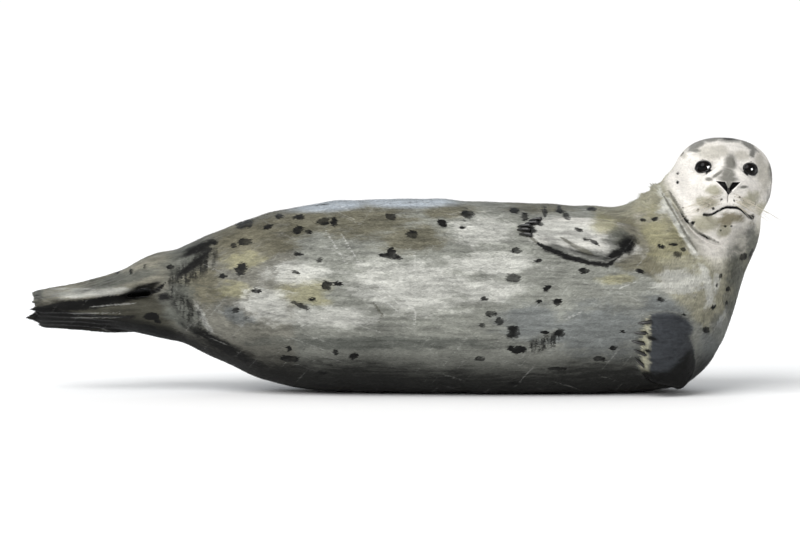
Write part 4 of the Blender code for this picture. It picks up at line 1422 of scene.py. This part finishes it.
def whisker_path(start, out, length):
    """A whisker that leaves the pad outwards and bends back and down."""
    steps = np.linspace(0, 1, 10)[:, None]
    bend = np.array((-0.45, 0.0, -0.35)) @ HEAD_AXES
    return start + out * (length * steps) + bend * (length * 0.5 * steps**2)


def make_whiskers(skin, material):
    """Whiskers on both pads."""
    tree = BVHTree.FromObject(skin, bpy.context.evaluated_depsgraph_get())
    one_side = whisker_roots()
    both_sides = [(side * across, up) for side in (1, -1) for across, up in one_side]
    points, triangles, total = [], [], 0
    for across, up in both_sides:
        start = from_head(np.array([0.25, across, up]))
        place, normal, _, _ = tree.ray_cast(Vector(start), Vector(-HEAD_AXES[0]))
        if place is None:
            continue
        aside = math.copysign(1.0, across) * HEAD_AXES[1]
        lean = RNG.normal(0, 0.10, 3) - HEAD_AXES[2] * 0.25
        out = unit(np.array(normal) * 0.35 + aside * (0.55 + 12.0 * abs(across)) + lean)
        length = (WHISKER_SHORTEST + WHISKER_GAIN * abs(across)) * RNG.uniform(0.75, 1.2)
        path = whisker_path(np.array(place) - out * 0.001, out, length)
        radii = np.linspace(*WHISKER_RADII, len(path))
        new_points, new_triangles = tube(path, radii, 6)
        points.append(new_points)
        triangles.append(new_triangles + total)
        total += len(new_points)
    mesh = triangle_mesh("whiskers", np.concatenate(points), np.concatenate(triangles))
    made = linked("whiskers", mesh)
    mesh.materials.append(material)
    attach(made, "root")


# ---- stage and camera
def aimed(name, data, place, way, axis="-Z"):
    """An object at a place, with one of its own axes turned a certain way."""
    made = linked(name, data)
    made.location = place
    made.rotation_mode = "QUATERNION"
    made.rotation_quaternion = Vector(way).to_track_quat(axis, "Y")
    return made


def area_light(name, place, aim, size, power, colour):
    """A soft rectangular light."""
    data = bpy.data.lights.new(name, "AREA")
    data.shape = "RECTANGLE"
    data.size, data.size_y = size
    data.energy = power
    data.color = colour
    return aimed(name, data, place, Vector(aim) - Vector(place))


def light_eyes(eyes):
    """A lamp that only the eyes mirror, as a small bright glint on the left side of the head."""
    lamp = area_light("catch", CATCH_AT, EYES[1].centre, CATCH_SIZE, CATCH_POWER, WHITE)
    lamp.visible_diffuse = False
    lit = bpy.data.collections.new("mirrors_catch")
    for eye in eyes:
        lit.objects.link(eye)
    lamp.light_linking.receiver_collection = lit


def make_stage(target):
    """Pale floor, even sky, and soft lights."""
    mesh = bpy.data.meshes.new("floor")
    mesh.from_pydata([(-30, -30, 0), (30, -30, 0), (30, 30, 0), (-30, 30, 0)], [], [(0, 1, 2, 3)])
    mesh.materials.append(floor_material())
    linked("floor", mesh)
    world = bpy.data.worlds.new("studio")
    world.use_nodes = True
    sky = world.node_tree.nodes["Background"]
    sky.inputs["Color"].default_value = (*WHITE, 1.0)
    sky.inputs["Strength"].default_value = SKY_LIGHT
    bpy.context.scene.world = world
    sun = bpy.data.lights.new("key", "SUN")
    sun.energy = SUN_LIGHT
    sun.angle = SUN_ANGLE
    aimed("key", sun, (0, 0, 0), SUN_FROM, "Z")
    area_light("rim", RIM_AT, target, RIM_SIZE, RIM_POWER, RIM_COLOUR)


def make_camera(target):
    """A long lens at a little above the animal's height."""
    data = bpy.data.cameras.new("camera")
    data.lens = LENS
    back = Vector((0.0, -math.cos(CAMERA_UP), math.sin(CAMERA_UP)))
    camera = aimed("camera", data, target + back * CAMERA_AWAY, -back)
    bpy.context.scene.camera = camera


# ---- build
def build():
    """The whole scene."""
    low, high = CAD_BOX
    make_camera((low + high) / 2 + Vector(CAMERA_AIM))
    make_stage((low + high) / 2)
    skin, shares = make_skin()
    mesh = skin.data
    mark_mesh(mesh, 1, points_of(mesh), normals_of(mesh), shares)
    mesh.materials.clear()
    mesh.materials.append(coat_material("skin", False))
    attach(skin, "root")
    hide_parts(*FLESH)
    coat = coat_material("coat", True)
    for piece in make_coat(skin, shares):
        piece.data.materials.append(coat)
        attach(piece, "root")
    eye_look = eye_material()
    light_eyes([make_eye(eye, eye_look) for eye in EYES])
    make_rims(rim_material())
    make_claws(claw_material())
    make_whiskers(skin, whisker_material())
    thin_out(skin)


build()
bpy.context.scene.view_settings.view_transform = "Standard"
